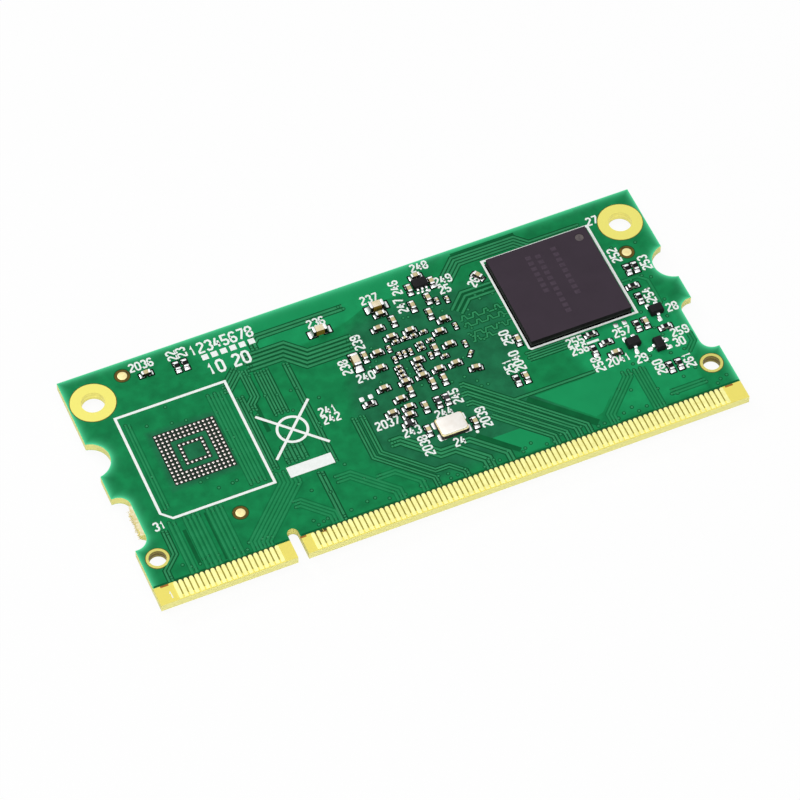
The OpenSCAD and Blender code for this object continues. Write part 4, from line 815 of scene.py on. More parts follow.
# Printed numbers on each face: middle in millimetres, turn in degrees and how many digits
UPPER_NUMBERS = (
    (-24.6, 14.25, 0, 4), (-21.1, 14.1, 90, 2), (-20.0, 14.1, 90, 2), (-5.1, 12.1, 0, 3),
    (1.45, 12.75, 0, 3), (-4.5, 5.2, 90, 3), (-2.0, 7.75, 90, 3), (-2.95, 3.2, 0, 3), (-8.4, 0.75, 0, 3),
    (-8.4, -0.4, 0, 3), (-3.2, -3.4, 0, 4), (-1.2, -5.4, 0, 3), (-0.55, -7.7, 90, 4), (2.95, -8.6, 0, 2),
    (2.9, -4.5, 0, 3), (4.9, -3.0, 90, 3), (6.55, -6.7, 90, 4), (4.65, 13.0, 90, 3), (4.3, 10.5, 90, 3),
    (8.2, 14.7, 0, 3), (9.9, 12.0, 0, 3), (9.6, 10.75, 0, 2), (12.9, 10.4, 45, 2), (13.05, 2.0, 90, 3),
    (11.75, -1.7, 90, 3), (12.9, -1.3, 90, 4), (28.3, 13.0, 0, 2), (28.55, 7.6, 90, 3),
    (31.2, 5.4, 90, 3), (29.7, 1.15, 90, 3), (31.35, -1.25, 0, 2), (19.7, -1.4, 0, 3), (19.7, -2.6, 0, 3),
    (24.9, -2.2, 0, 3), (20.7, -5.2, 90, 3), (23.0, -5.5, 0, 4), (25.35, -6.3, 0, 2), (30.7, -4.55, 0, 3),
    (30.05, -5.85, 0, 2), (26.65, -8.15, 90, 3), (29.9, -8.5, 90, 3), (-30.35, -6.1, 0, 2),
)
LOWER_NUMBERS = (
    (2.5, 13.4, 0, 3), (-21.4, 11.45, 0, 3), (-13.8, 9.6, 0, 2), (21.8, 10.6, 0, 2), (19.8, 0.15, 0, 3),
    (-8.0, -10.0, 90, 3), (10.6, 3.0, 90, 3),
)
# First number of each count of digits
FIRST_NUMBER = {2: 22, 3: 236, 4: 2036}
# Share of a stroke's width that its top keeps
STROKE_TOP = 0.9

# Layer marks, in millimetres: text, middle, height and stroke width; the last is on the bare card edge
LAYER_NUMBERS = (
    ("12345678", -15.5, 13.85, 1.3, 0.24), ("10", -17.25, 10.8, 1.5, 0.29), ("20", -14.3, 10.8, 1.5, 0.29),
    ("1", -32.3, -14.6, 0.9, 0.16),
)
# A row of printed squares: how many, left end, height on the board, step and side in millimetres, and the
# share of the side kept at the top
SQUARE_COUNT = 6
SQUARE_X = -18.2
SQUARE_Y = 12.5
SQUARE_STEP = 1.08
SQUARE_SIDE = 0.72
SQUARE_TOP = 0.95
# Printed dots: middles, radius at the foot and at the top in millimetres, and points around
PRINT_DOTS = ((5.18, -8.2, 0), (7.95, 11.25, 0))
PRINT_DOT_RADII = np.array([0.2, 0.19])
PRINT_DOT_POINTS = 16

# Camera, solved from the board's corners, holes and contact row: millimetres and degrees
CAMERA_EYE = Vector((-102.661, -244.1005, 365.378))
CAMERA_AIM = Vector((-0.767, -1.103, 2.31))
CAMERA_ROLL = -0.492
CAMERA_LENS = 188.5
CAMERA_SENSOR = 36.0
CAMERA_NEAR = 10

# Lamps, which aim at the module: name, watts, width and place in metres
LAMPS = (
    ("back", 1.6, 0.3, (-0.3, 0.42, 0.56)),
    ("top", 3.6, 0.6, (-0.1, -0.2, 0.75)),
    ("front", 3.0, 0.8, (-0.15, -0.75, 0.12)),
)
WHITE = (1, 1, 1, 1)
# Strength of the surround as light, and as the eye sees it
SURROUND_LIGHT = 0.2
SURROUND_SEEN = 1.0
# Floor: its paint, the share of it that shows as plain white, half its width in metres, fibres to a
# millimetre, their relief in millimetres and how far it lies under the module in millimetres
FLOOR_PAINT = (0.9, 0.9, 0.9, 1)
FLOOR_WHITE = 0.94
FLOOR_REACH = 1.5
FLOOR_FIBRES = 0.9
FLOOR_RELIEF = 0.01
FLOOR_DROP = 0.02


class MODULE_OT_studio(bpy.types.Operator):
    """Sets the camera, lamps, white surround and floor."""

    bl_idname = "module.studio"
    bl_label = "Studio"

    def execute(self, context):
        scene = context.scene
        scene.view_settings.view_transform = "Standard"
        self.camera(scene)
        self.lamps(scene)
        self.surround(scene)
        self.floor(scene)
        return {"FINISHED"}

    @staticmethod
    def camera(scene):
        """Camera at the photograph's viewing angle."""
        lens = bpy.data.cameras.new("camera")
        lens.lens = CAMERA_LENS
        lens.sensor_width = CAMERA_SENSOR
        lens.clip_start = CAMERA_NEAR * MM
        camera = bpy.data.objects.new("camera", lens)
        eye = CAMERA_EYE * MM
        aim = CAMERA_AIM * MM
        roll = Quaternion((0, 0, 1), math.radians(CAMERA_ROLL))
        camera.rotation_mode = "QUATERNION"
        camera.rotation_quaternion = (aim - eye).to_track_quat("-Z", "Y") @ roll
        camera.location = eye
        scene.collection.objects.link(camera)
        scene.camera = camera

    @staticmethod
    def lamps(scene):
        """Square lamps that aim at the origin."""
        for name, watts, width, place in LAMPS:
            lamp = bpy.data.lights.new(name, "AREA")
            lamp.energy = watts
            lamp.size = width
            holder = bpy.data.objects.new(name, lamp)
            holder.location = place
            holder.rotation_mode = "QUATERNION"
            holder.rotation_quaternion = (-Vector(place)).to_track_quat("-Z", "Y")
            scene.collection.objects.link(holder)

    def surround(self, scene):
        """Surround that is white to the eye and gives a dimmer light."""
        world = bpy.data.worlds.new("white_surround")
        world.use_nodes = True
        scene.world = world
        tree = world.node_tree
        tree.nodes.clear()
        seen = self.seen(tree)
        dim = add(tree, "ShaderNodeBackground", {"Color": WHITE, "Strength": SURROUND_LIGHT})
        white = add(tree, "ShaderNodeBackground", {"Color": WHITE, "Strength": SURROUND_SEEN})
        mixed = add(tree, "ShaderNodeMixShader", {0: seen, 1: dim.outputs[0], 2: white.outputs[0]})
        add(tree, "ShaderNodeOutputWorld", {"Surface": mixed.outputs[0]})

    def floor(self, scene):
        """Painted board: white to the eye, and it keeps a faint shadow."""
        paint = bpy.data.materials.new("white_painted_board")
        paint.use_nodes = True
        tree = paint.node_tree
        tree.nodes.clear()
        place = add(tree, "ShaderNodeTexCoord").outputs["Object"]
        fibres = add(tree, "ShaderNodeTexNoise", {"Vector": place, "Scale": FLOOR_FIBRES / MM})
        bump = add(tree, "ShaderNodeBump", {"Height": fibres.outputs["Fac"], "Distance": FLOOR_RELIEF * MM})
        matt = add(tree, "ShaderNodeBsdfDiffuse", {"Color": FLOOR_PAINT, "Normal": bump.outputs[0]})
        glow = add(tree, "ShaderNodeEmission", {"Color": WHITE, "Strength": 1.0})
        share = add(tree, "ShaderNodeMath", {0: self.seen(tree), 1: FLOOR_WHITE}, operation="MULTIPLY")
        mixed = add(tree, "ShaderNodeMixShader",
                    {0: share.outputs[0], 1: matt.outputs[0], 2: glow.outputs[0]})
        add(tree, "ShaderNodeOutputMaterial", {"Surface": mixed.outputs[0]})
        corners = FLOOR_REACH * np.array([[-1, -1, 0], [1, -1, 0], [1, 1, 0], [-1, 1, 0]])
        mesh = bpy.data.meshes.new("floor")
        mesh.from_pydata(corners.tolist(), [], [(0, 1, 2, 3)])
        mesh.materials.append(paint)
        floor = bpy.data.objects.new("floor", mesh)
        floor.location.z = CAD_BOX[0].z - FLOOR_DROP * MM
        scene.collection.objects.link(floor)

    @staticmethod
    def seen(tree):
        """1 for rays that the eye sees directly or in metal and glass, and 0 for those that only light."""
        path = add(tree, "ShaderNodeLightPath").outputs
        shiny = add(tree, "ShaderNodeMath", {0: path["Is Camera Ray"], 1: path["Is Glossy Ray"]},
                    operation="MAXIMUM")
        return add(tree, "ShaderNodeMath", {0: shiny.outputs[0], 1: path["Is Transmission Ray"]},
                   operation="MAXIMUM").outputs[0]


# Nodes whose finish differs a little from the rest of their slot
OWN_FINISH = {
    "latch_hole_linings": "latch_lining", "mounting_hole_linings": "ring_lining",
    "alignment_dots": "dot_gold", "oscillator_base": "dark_ceramic",
    "large_capacitor_bodies": "pale_ceramic",
}


class MODULE_OT_finishes(bpy.types.Operator):
    """Gives every CAD node the finish of its material slot."""

    bl_idname = "module.finishes"
    bl_label = "Finishes"

    def execute(self, context):
        FINISHES.update(make_finishes(context.scene.module_colours))
        for name, node in frame["nodes"].items():
            node.data.materials.clear()
            node.data.materials.append(FINISHES[OWN_FINISH.get(name, NODE_SLOT[name])])
        return {"FINISHED"}


# Boxes that get rounded edges: radius of the edges and of the corners, and the draft, in millimetres
ROUNDED = {
    "large_capacitor_bodies": (0.05, 0.02, 0), "large_capacitor_ends": (0.06, 0.06, 0),
    "capacitor_bodies": (0.04, 0.02, 0), "capacitor_ends": (0.05, 0.05, 0),
    "tiny_capacitor_bodies": (0.03, 0.02, 0), "tiny_capacitor_ends": (0.035, 0.035, 0),
    "resistor_bodies": (0.01, 0.01, 0), "resistor_glaze": (0.02, 0.02, 0), "resistor_ends": (0.03, 0.03, 0),
    "bead_bodies": (0.04, 0.02, 0), "bead_ends": (0.05, 0.05, 0),
    "bare_pads": (0.02, 0.08, 0), "oscillator_pads": (0.02, 0.1, 0),
    "oscillator_base": (0.03, 0.12, 0), "oscillator_lid": (0.05, 0.25, 0),
    "regulator_body": (0.05, 0.05, 0.05), "transistor_bodies": (0.06, 0.06, 0.07),
    "storage_chip": (0.06, 0.08, 0.12), "memory_carrier": (0.01, 0.03, 0),
    "processor_carrier": (0.01, 0.1, 0), "processor_cap": (0.05, 0.15, 0),
    "power_chip": (0.03, 0.05, 0), "interface_chip": (0.03, 0.05, 0),
    "coil_bodies": (0.08, 0.05, 0), "coil_ends": (0.06, 0.08, 0),
    "lower_capacitor_bodies": (0.04, 0.02, 0), "lower_capacitor_ends": (0.05, 0.05, 0),
    "lower_resistor_bodies": (0.01, 0.01, 0), "lower_resistor_glaze": (0.02, 0.02, 0),
    "lower_resistor_ends": (0.03, 0.03, 0),
}


class MODULE_OT_small_parts(bpy.types.Operator):
    """Rounds the edges of the small parts and the moulded bodies."""

    bl_idname = "module.small_parts"
    bl_label = "Small parts"

    def execute(self, context):
        for node, (edge, corner, draft) in ROUNDED.items():
            slot = NODE_SLOT[node]
            look = OWN_FINISH.get(node, slot)
            add_piece("round_" + node, rounded_boxes(node, edge, corner, draft), look, [node])
        return {"FINISHED"}


# Contacts: how far the top is drawn in, in millimetres, the share of the height where that begins, and
# the points round the end
CONTACT_EDGE = 0.02
CONTACT_WALL = 0.6
CONTACT_POINTS = 7


class MODULE_OT_contacts(bpy.types.Operator):
    """Gives the contacts soft edges, and a half round at the end next to the coating."""

    bl_idname = "module.contacts"
    bl_label = "Contacts"

    def execute(self, context):
        for node in ("upper_contacts", "lower_contacts"):
            slot = NODE_SLOT[node]
            add_piece("round_" + node, self.fingers(node), slot, [node])
        return {"FINISHED"}

    @staticmethod
    def fingers(node):
        """Contacts: a rectangle that ends in a half circle, carried upwards and drawn in at the top."""
        corners = solids(node)
        up = side_of(node)
        low, high = corners.min(axis=1), corners.max(axis=1)
        inset = np.array([0, 0, CONTACT_EDGE]) * MM
        half = ((high - low)[:, 0] / 2)[:, None] - inset
        turn = np.linspace(0, math.pi, CONTACT_POINTS)
        wide = half[:, :, None] * np.concatenate([[-1, 1], np.cos(turn)])
        front = np.repeat((low[:, 1, None] + inset)[:, :, None], 2, axis=2)
        tip = (high[:, 1] - half[:, 0])[:, None, None] + half[:, :, None] * np.sin(turn)
        rise = up * np.array([0, CONTACT_WALL, 1]) * (high - low)[:, 2, None]
        level = (low if up > 0 else high)[:, 2, None] + rise
        x = (low[:, 0] + high[:, 0])[:, None, None] / 2 + wide
        z = np.repeat(level[:, :, None], x.shape[2], axis=2)
        return loft(np.stack([x, np.concatenate([front, tip], axis=2), z], axis=-1))


# Small parts with soldered ends
SOLDERED = ("large_capacitor", "capacitor", "tiny_capacitor", "resistor", "bead", "coil", "lower_capacitor",
            "lower_resistor")
# Fillets: power of the hollow slope, points along it, stations across the half width, and the share of the
# full height at each
FILLET_POWER = 2.2
FILLET_POINTS = 5
FILLET_STATIONS = np.array([-1, -0.8, 0, 0.8, 1.0])
FILLET_SHARES = np.array([0.45, 0.9, 1, 0.9, 0.45])
# Which corner of a CAD fillet, from the board up, lies on the pad's top
PAD_CORNER = 5
# Dark rims of the pads, partly painted shade round the parts, in millimetres: reach under the part, and
# corner radius
PAD_RIM_UNDER = 0.2
PAD_RIM_CORNER = 0.08


class MODULE_OT_solder(bpy.types.Operator):
    """Draws the hollow solder fillets at the ends of the small parts, and the dark rims of their pads,
    partly painted shade.
    """

    bl_idname = "module.solder"
    bl_label = "Solder"

    def execute(self, context):
        sizes = context.scene.module_sizes
        rims = []
        for kind in SOLDERED:
            node = kind + "_solder"
            fillets, rim = self.fillets(node, kind + "_ends", sizes.pad_margin, sizes.pad_rim)
            add_piece("hollow_" + node, fillets, "solder", [node])
            rims.append(rim)
        # Pad rims: near black partly as painted shade round the parts
        add_piece("pad_rims_and_painted_shade", join(rims), "pad_rim")
        return {"FINISHED"}

    @staticmethod
    def fillets(node, ends, margin, rim):
        """Fillets of one kind: a hollow slope carried across the width, and lower towards both sides.

        The slope falls from the part's face to the pad's edge as a power of the way left. Each fillet's
        pad has a flat dark rim, partly painted shade, a rectangle that reaches under the part.
        """
        corners = solids(node)
        up = side_of(node)
        end_middle = solids(ends).mean(axis=1)
        middle = corners.mean(axis=1)
        gap = np.linalg.norm(middle[:, None, :2] - end_middle[None, :, :2], axis=2)
        origin = end_middle[gap.argmin(axis=1)]
        out = middle - origin
        out[:, 2] = 0
        out /= np.linalg.norm(out, axis=1)[:, None]
        across = np.stack([-out[:, 1], out[:, 0], 0 * out[:, 0]], axis=1)
        local = corners - origin[:, None]
        run = np.sum(local * out[:, None], axis=2)
        half = np.abs(np.sum(local * across[:, None], axis=2)).max(axis=1)
        high = np.sort(up * corners[:, :, 2], axis=1)
        base, pad, top = high[:, 0], high[:, PAD_CORNER], high[:, -1]
        inner, outer = run.min(axis=1), run.max(axis=1)
        face = np.take_along_axis(run, (up * corners[:, :, 2]).argmax(axis=1)[:, None], axis=1)[:, 0]
        way = np.linspace(0, 1, FILLET_POINTS)
        slope = pad[:, None] + (top - pad)[:, None] * (1 - way) ** FILLET_POWER
        reach = face[:, None] + (outer - face)[:, None] * way[::-1]
        length = np.column_stack([inner, outer, reach, face, inner])
        height = np.column_stack([base, base, slope[:, ::-1], pad, pad]) - base[:, None]
        points = (origin[:, None, None] + out[:, None, None] * length[:, None, :, None]
                  + across[:, None, None] * (FILLET_STATIONS * half[:, None])[:, :, None, None])
        points[..., 2] = up * (base[:, None, None] + FILLET_SHARES[:, None] * height[:, None, :])
        low, high = inner - PAD_RIM_UNDER * MM, outer + margin
        spot = origin + out * ((low + high) / 2)[:, None]
        spot[:, 2] = UPPER_Z if up > 0 else LOWER_Z
        sides = np.stack([(high - low) / 2, half + margin], axis=1)
        flat = rectangle_rings(sides, np.zeros((len(sides), 2)), PAD_RIM_CORNER * MM)
        rims = stacked(spot, out, across, flat, np.tile([0, rim], (len(sides), 1)), up)
        return loft(points), loft(rims)


# Leads: radius of a bend as a share of the thickness, and which corners of a CAD lead lie on the foot's
# top, from the board up, and on the outside of its upright, from the body out
LEAD_BEND = 0.8
FOOT_CORNER = 4
KNEE_CORNER = 8
# Solder under a foot, in millimetres: margins along and across it, corner radius, and the inset and height
# of each ring
FOOT_MARGINS = (0.14, 0.08)
FOOT_RADIUS = 0.1
FOOT_INSETS = np.array([0, 0.02, 0.1, 0.16])
FOOT_HEIGHTS = np.array([0, 0.03, 0.06, 0.07])


class MODULE_OT_leads(bpy.types.Operator):
    """Bends the leads of the leaded packages and sets each foot in solder."""

    bl_idname = "module.leads"
    bl_label = "Leads"

    def execute(self, context):
        for node, body in (("regulator_leads", "regulator_body"), ("transistor_leads", "transistor_bodies"),
                           ("storage_chip_leads", "storage_chip")):
            bent, pads = self.leads(node, body)
            add_piece("bent_" + node, bent, "tinned_lead", [node])
            add_piece(node + "_solder", pads, "solder")
        return {"FINISHED"}

    @staticmethod
    def leads(node, body):
        """Bent leads and the solder under their feet.

        A lead is a flat bar carried along its bent centre line: out of the body, down and out on the board.
        """
        corners = solids(node)
        up = side_of(node)
        low, high = corners.min(axis=1), corners.max(axis=1)
        extent = (high - low)[:, :2]
        axis = extent.argmax(axis=1)
        rows = np.arange(len(axis))
        middle = (low + high) / 2
        bodies = solids(body).mean(axis=1)
        nearest = np.linalg.norm(middle[:, None] - bodies[None], axis=2).argmin(axis=1)
        out = np.zeros((len(axis), 3))
        out[rows, axis] = np.sign((middle - bodies[nearest])[rows, axis])
        across = np.stack([-out[:, 1], out[:, 0], 0 * axis], axis=1)
        width = extent[rows, 1 - axis]
        run = np.sort(np.sum((corners - middle[:, None]) * out[:, None], axis=2), axis=1)
        side, knee, toe = run[:, 0], run[:, KNEE_CORNER], run[:, -1]
        height = np.sort(up * corners[:, :, 2], axis=1)
        floor, leave = height[:, 0], height[:, -1]
        thick = height[:, FOOT_CORNER] - floor
        bend = LEAD_BEND * thick
        upper, lower, wall = leave - thick / 2, floor + thick / 2, knee - thick / 2
        eighth = 1 - math.sqrt(0.5)
        line = np.stack([
            np.stack([side - thick, upper]), np.stack([wall - bend, upper]),
            np.stack([wall - eighth * bend, upper - eighth * bend]), np.stack([wall, upper - bend]),
            np.stack([wall, lower + bend]), np.stack([wall + eighth * bend, lower + eighth * bend]),
            np.stack([wall + bend, lower]), np.stack([toe, lower])]).transpose(2, 0, 1)
        slant = math.sqrt(0.5)
        lift = np.array([[0, 1], [0, 1], [slant, slant], [1, 0], [1, 0], [slant, slant], [0, 1], [0, 1]])
        corner = np.array([[-1, -1], [1, -1], [1, 1], [-1, 1]]) / 2
        flat = line[:, :, None] + thick[:, None, None, None] * corner[:, 1:] * lift[:, None]
        start = middle * np.array([1, 1, 0])
        points = (start[:, None, None] + out[:, None, None] * flat[..., :1]
                  + across[:, None, None] * (width[:, None, None] * corner[:, 0])[..., None])
        points[..., 2] = up * flat[..., 1]
        foot = (wall + toe) / 2
        half = np.stack([(toe - wall) / 2, width / 2], axis=1) + np.array(FOOT_MARGINS) * MM
        inset = np.tile(FOOT_INSETS * MM, (len(rows), 1))
        rise = np.tile(FOOT_HEIGHTS * MM, (len(rows), 1))
        base = start + out * foot[:, None]
        base[:, 2] = up * floor
        pads = stacked(base, out, across, rectangle_rings(half, inset, FOOT_RADIUS * MM), rise, up)
        return loft(points), loft(pads)


# Turned shapes: radius and height at each ring, as shares of the CAD solid's own, and points around
BALL = np.array([[0.72, 0], [0.95, 0.2], [1, 0.5], [0.95, 0.8], [0.72, 1]]).T
DOT_DOME = np.array([[0.94, 0], [0.92, 0.6], [0.8, 0.92], [0.4, 1]]).T
LAND_DOME = np.array([[0.86, 0], [0.84, 0.5], [0.66, 0.88], [0.3, 1]]).T
BALL_POINTS = 10
DOT_POINTS = 32
LAND_POINTS = 12
# Dark bands under the spare lands: width of the outer one, half size and width of the inner one in pitches,
# and corner radius in millimetres
OUTER_BAND = 3
INNER_HALF = 3
INNER_BAND = 1
BAND_CORNER = 0.06


class MODULE_OT_balls(bpy.types.Operator):
    """Turns the solder balls under the chips, the domed dots and the domed lands of the spare chip."""

    bl_idname = "module.balls"
    bl_label = "Balls and lands"

    def execute(self, context):
        for node in ("memory_balls", "processor_balls"):
            spots, radius, height = self.spots(node)
            rings = turned(spots, BALL[0] * radius, BALL[1] * height, BALL_POINTS)
            add_piece("round_" + node, loft(rings), "solder", [node])
        spots, radius, height = self.spots("alignment_dots")
        rings = turned(spots, DOT_DOME[0] * radius, DOT_DOME[1] * height, DOT_POINTS)
        add_piece("domed_dots", loft(rings), "dot_gold", ["alignment_dots"])
        spots, radius, height = self.spots("spare_chip_lands")
        rings = turned(spots, LAND_DOME[0] * radius, LAND_DOME[1] * height, LAND_POINTS)
        add_piece("domed_lands", loft(rings), "spare_land", ["spare_chip_lands"])
        bands = self.bands(spots, context.scene.module_sizes.film)
        add_piece("land_clearances", bands, "land_gap")
        return {"FINISHED"}

    @staticmethod
    def bands(spots, film):
        """Two flat square frames under the spare lands: rings at two insets and two heights, in a loop."""
        middle = (spots.min(axis=0) + spots.max(axis=0)) / 2
        across = np.unique(np.round(np.abs(spots - middle)[:, 0] / MM, 2)) * MM
        pitch = across[1] - across[0]
        reach = across[-1] + pitch / 2
        half = np.array([[reach, reach], [INNER_HALF * pitch, INNER_HALF * pitch]])
        inset = np.outer([OUTER_BAND, INNER_BAND], [1, 0, 0, 1]) * pitch
        rise = np.tile([0, 0, film, film], (2, 1))
        flat = rectangle_rings(half, inset, BAND_CORNER * MM)
        return loft(level_stack(np.tile(middle, (2, 1)), flat, rise), wrap=True)

    @staticmethod
    def spots(node):
        """Base middle, radius and height of the turned solids of a node."""
        corners = solids(node)
        spots = corners.mean(axis=1)
        spots[:, 2] = corners[:, :, 2].min(axis=1)
        return spots, np.ptp(corners[0, :, 0]) / 2, np.ptp(corners[0, :, 2])


# Openings in the coating: node, and how far its resin shows past the metal in millimetres
OPENINGS = (("alignment_dots", 0.275), ("mounting_hole_linings", 0.08), ("latch_hole_linings", 0.08))
# Share of the metal's radius under which the resin begins, width of the dark halo round a dot in
# millimetres, and points around
RESIN_INNER = 0.85
HALO_WIDTH = 0.09
RESIN_POINTS = 48
# Resin between the contacts, in millimetres over their front end: finish, low, high and reach under them;
# then its corner radius
# The second strips, next to the coating, are darkened as painted shade
CONTACT_GAPS = (("contact_gap", 0.4, 1.85, 0.0), ("contact_root", 1.85, 2.2, 0.2))
CONTACT_GAP_CORNER = 0.02
# Neighbouring contacts are less than this many pitches apart
NEAR_PITCHES = 1.5
# Stubs of the plating bar beside the first and last contacts and over the short one: middle, length and
# height on the board in millimetres, then their width, thickness in films and the share kept at the top
COPPER_STUBS = ((-32.6, 0.9, -13.32), (-17.0, 0.7, -13.32), (-14.7, 0.34, -13.6), (32.4, 0.9, -13.32))
STUB_WIDTH = 0.24
STUB_FILMS = 1.5
STUB_TOP = 0.9


class MODULE_OT_openings(bpy.types.Operator):
    """Lays the dark resin in the coating's openings and between the contacts, and the copper stubs."""

    bl_idname = "module.openings"
    bl_label = "Openings"

    def execute(self, context):
        film = context.scene.module_sizes.film
        faces = ((LAMINATE_HIGH.z, 1.0), (LAMINATE_LOW.z, -1.0))
        skins = []
        for node, grow in OPENINGS:
            corners = solids(node)
            spots = (corners.min(axis=1) + corners.max(axis=1)) / 2
            radius = np.ptp(corners[0, :, 0]) / 2
            outer = radius + grow * MM
            for level, up in faces[:1] if node == "alignment_dots" else faces:
                spots[:, 2] = level
                skins.append(flat_rings(spots, RESIN_INNER * radius, outer, film, RESIN_POINTS, up))
            if node == "alignment_dots":
                spots[:, 2] = UPPER_Z
                halos = flat_rings(spots, outer, outer + HALO_WIDTH * MM, film, RESIN_POINTS)
                add_piece("dot_halos", halos, "mask_gap")
        add_piece("opening_resin", join(skins), "resin")
        for name, low, high, under in CONTACT_GAPS:
            gaps = [self.contact_gaps(node, level, film, low * MM, high * MM, under * MM)
                    for node, (level, _) in zip(("upper_contacts", "lower_contacts"), faces)]
            add_piece(name + "s", join(gaps), name)
        stubs = []
        for x, length, y in COPPER_STUBS:
            path = np.array([[x - length / 2, y], [x + length / 2, y]]) * MM
            stubs.append(ribbon(path, STUB_WIDTH * MM, LAMINATE_HIGH.z, STUB_FILMS * film, STUB_TOP))
        add_piece("copper_stubs", join(stubs), "copper_stub")
        return {"FINISHED"}

    @staticmethod
    def contact_gaps(node, level, film, low, high, under):
        """Flat strips between neighbouring contacts, from low to high over the contacts' front end.

        They reach under the contacts on both sides, so that they fill the corners beside the round ends.
        """
        base, _, _, half, _, up = boxes(node)
        order = np.argsort(base[:, 0])
        x = base[order, 0]
        narrow = half.min(axis=1)[order]
        front = (base[:, 1] - half.max(axis=1)).min()
        step = np.diff(x)
        near = step < NEAR_PITCHES * step.min()
        middle = ((x[1:] + x[:-1]) / 2)[near]
        whole = np.ones(len(middle))
        sides = np.stack([(step / 2 - narrow[1:])[near] + under, (high - low) / 2 * whole], axis=1)
        spots = np.stack([middle, (front + (low + high) / 2) * whole, level * whole], axis=1)
        flat = rectangle_rings(sides, np.zeros((len(sides), 2)), CONTACT_GAP_CORNER * MM)
        return loft(level_stack(spots, flat, np.tile([0, film], (len(sides), 1)), up))


# Tufts on the snapped tab, in millimetres: low and high corners of the box that they start in and of how
# far they reach, and their least and greatest width; then the share of it at the tip, how many and the seed
TUFT_ROOTS = ((-32.56, -6.3, 1.33), (-32.5, -2.8, 2.24))
TUFT_REACH = ((-0.3, -0.12, -0.1), (-0.08, 0.12, 0.02))
TUFT_WIDTHS = (0.05, 0.12)
TUFT_TIP = 0.2
TUFT_COUNT = 90
TAB_SEED = 11
# Ragged sheet over the tab, in millimetres: its ends, outer and inner edge and raggedness, and where and
# how far the outer edge runs in at the upper end; then how many points it has
SHEET_ENDS = (-6.5, -2.5)
SHEET_OUTER = -32.56
SHEET_INNER = -32.02
SHEET_RAGGED = 0.08
SHEET_TURN = -3.1
SHEET_RUN_IN = 0.3
SHEET_POINTS = 41


class MODULE_OT_tab(bpy.types.Operator):
    """Roughens the snapped tab in the left cut-out with torn glass cloth."""

    bl_idname = "module.tab"
    bl_label = "Snapped tab"

    def execute(self, context):
        """Tufts that taper from the tab's wall to a blunt tip, and a thin ragged sheet over its upper face.

        Each tuft has a square at its root and a smaller one at its tip, which lies further out.
        """
        film = context.scene.module_sizes.film
        draw = np.random.default_rng(TAB_SEED)
        root = draw.uniform(*TUFT_ROOTS, (TUFT_COUNT, 3))
        tip = root + draw.uniform(*TUFT_REACH, (TUFT_COUNT, 3))
        width = draw.uniform(*TUFT_WIDTHS, TUFT_COUNT)[:, None, None]
        square = np.array([[0, -1, -1], [0, 1, -1], [0, 1, 1], [0, -1, 1]]) / 2
        tufts = np.stack([root[:, None] + width * square, tip[:, None] + TUFT_TIP * width * square], axis=1)
        y = np.linspace(*SHEET_ENDS, SHEET_POINTS)
        outer = SHEET_OUTER + SHEET_RAGGED * draw.uniform(-1, 1, SHEET_POINTS)
        outer += SHEET_RUN_IN * np.clip(y - SHEET_TURN, 0, 1)
        inner = [[SHEET_INNER, end] for end in SHEET_ENDS[::-1]]
        sheet = np.vstack([np.column_stack([outer, y]), inner]) * MM
        levels = [np.column_stack([sheet, np.full(len(sheet), LAMINATE_HIGH.z + z)]) for z in (0, film)]
        skins = [loft(tufts * MM), loft(np.stack(levels)[None])]
        add_piece("tab_fibres", join(skins), "torn_glass")
        return {"FINISHED"}


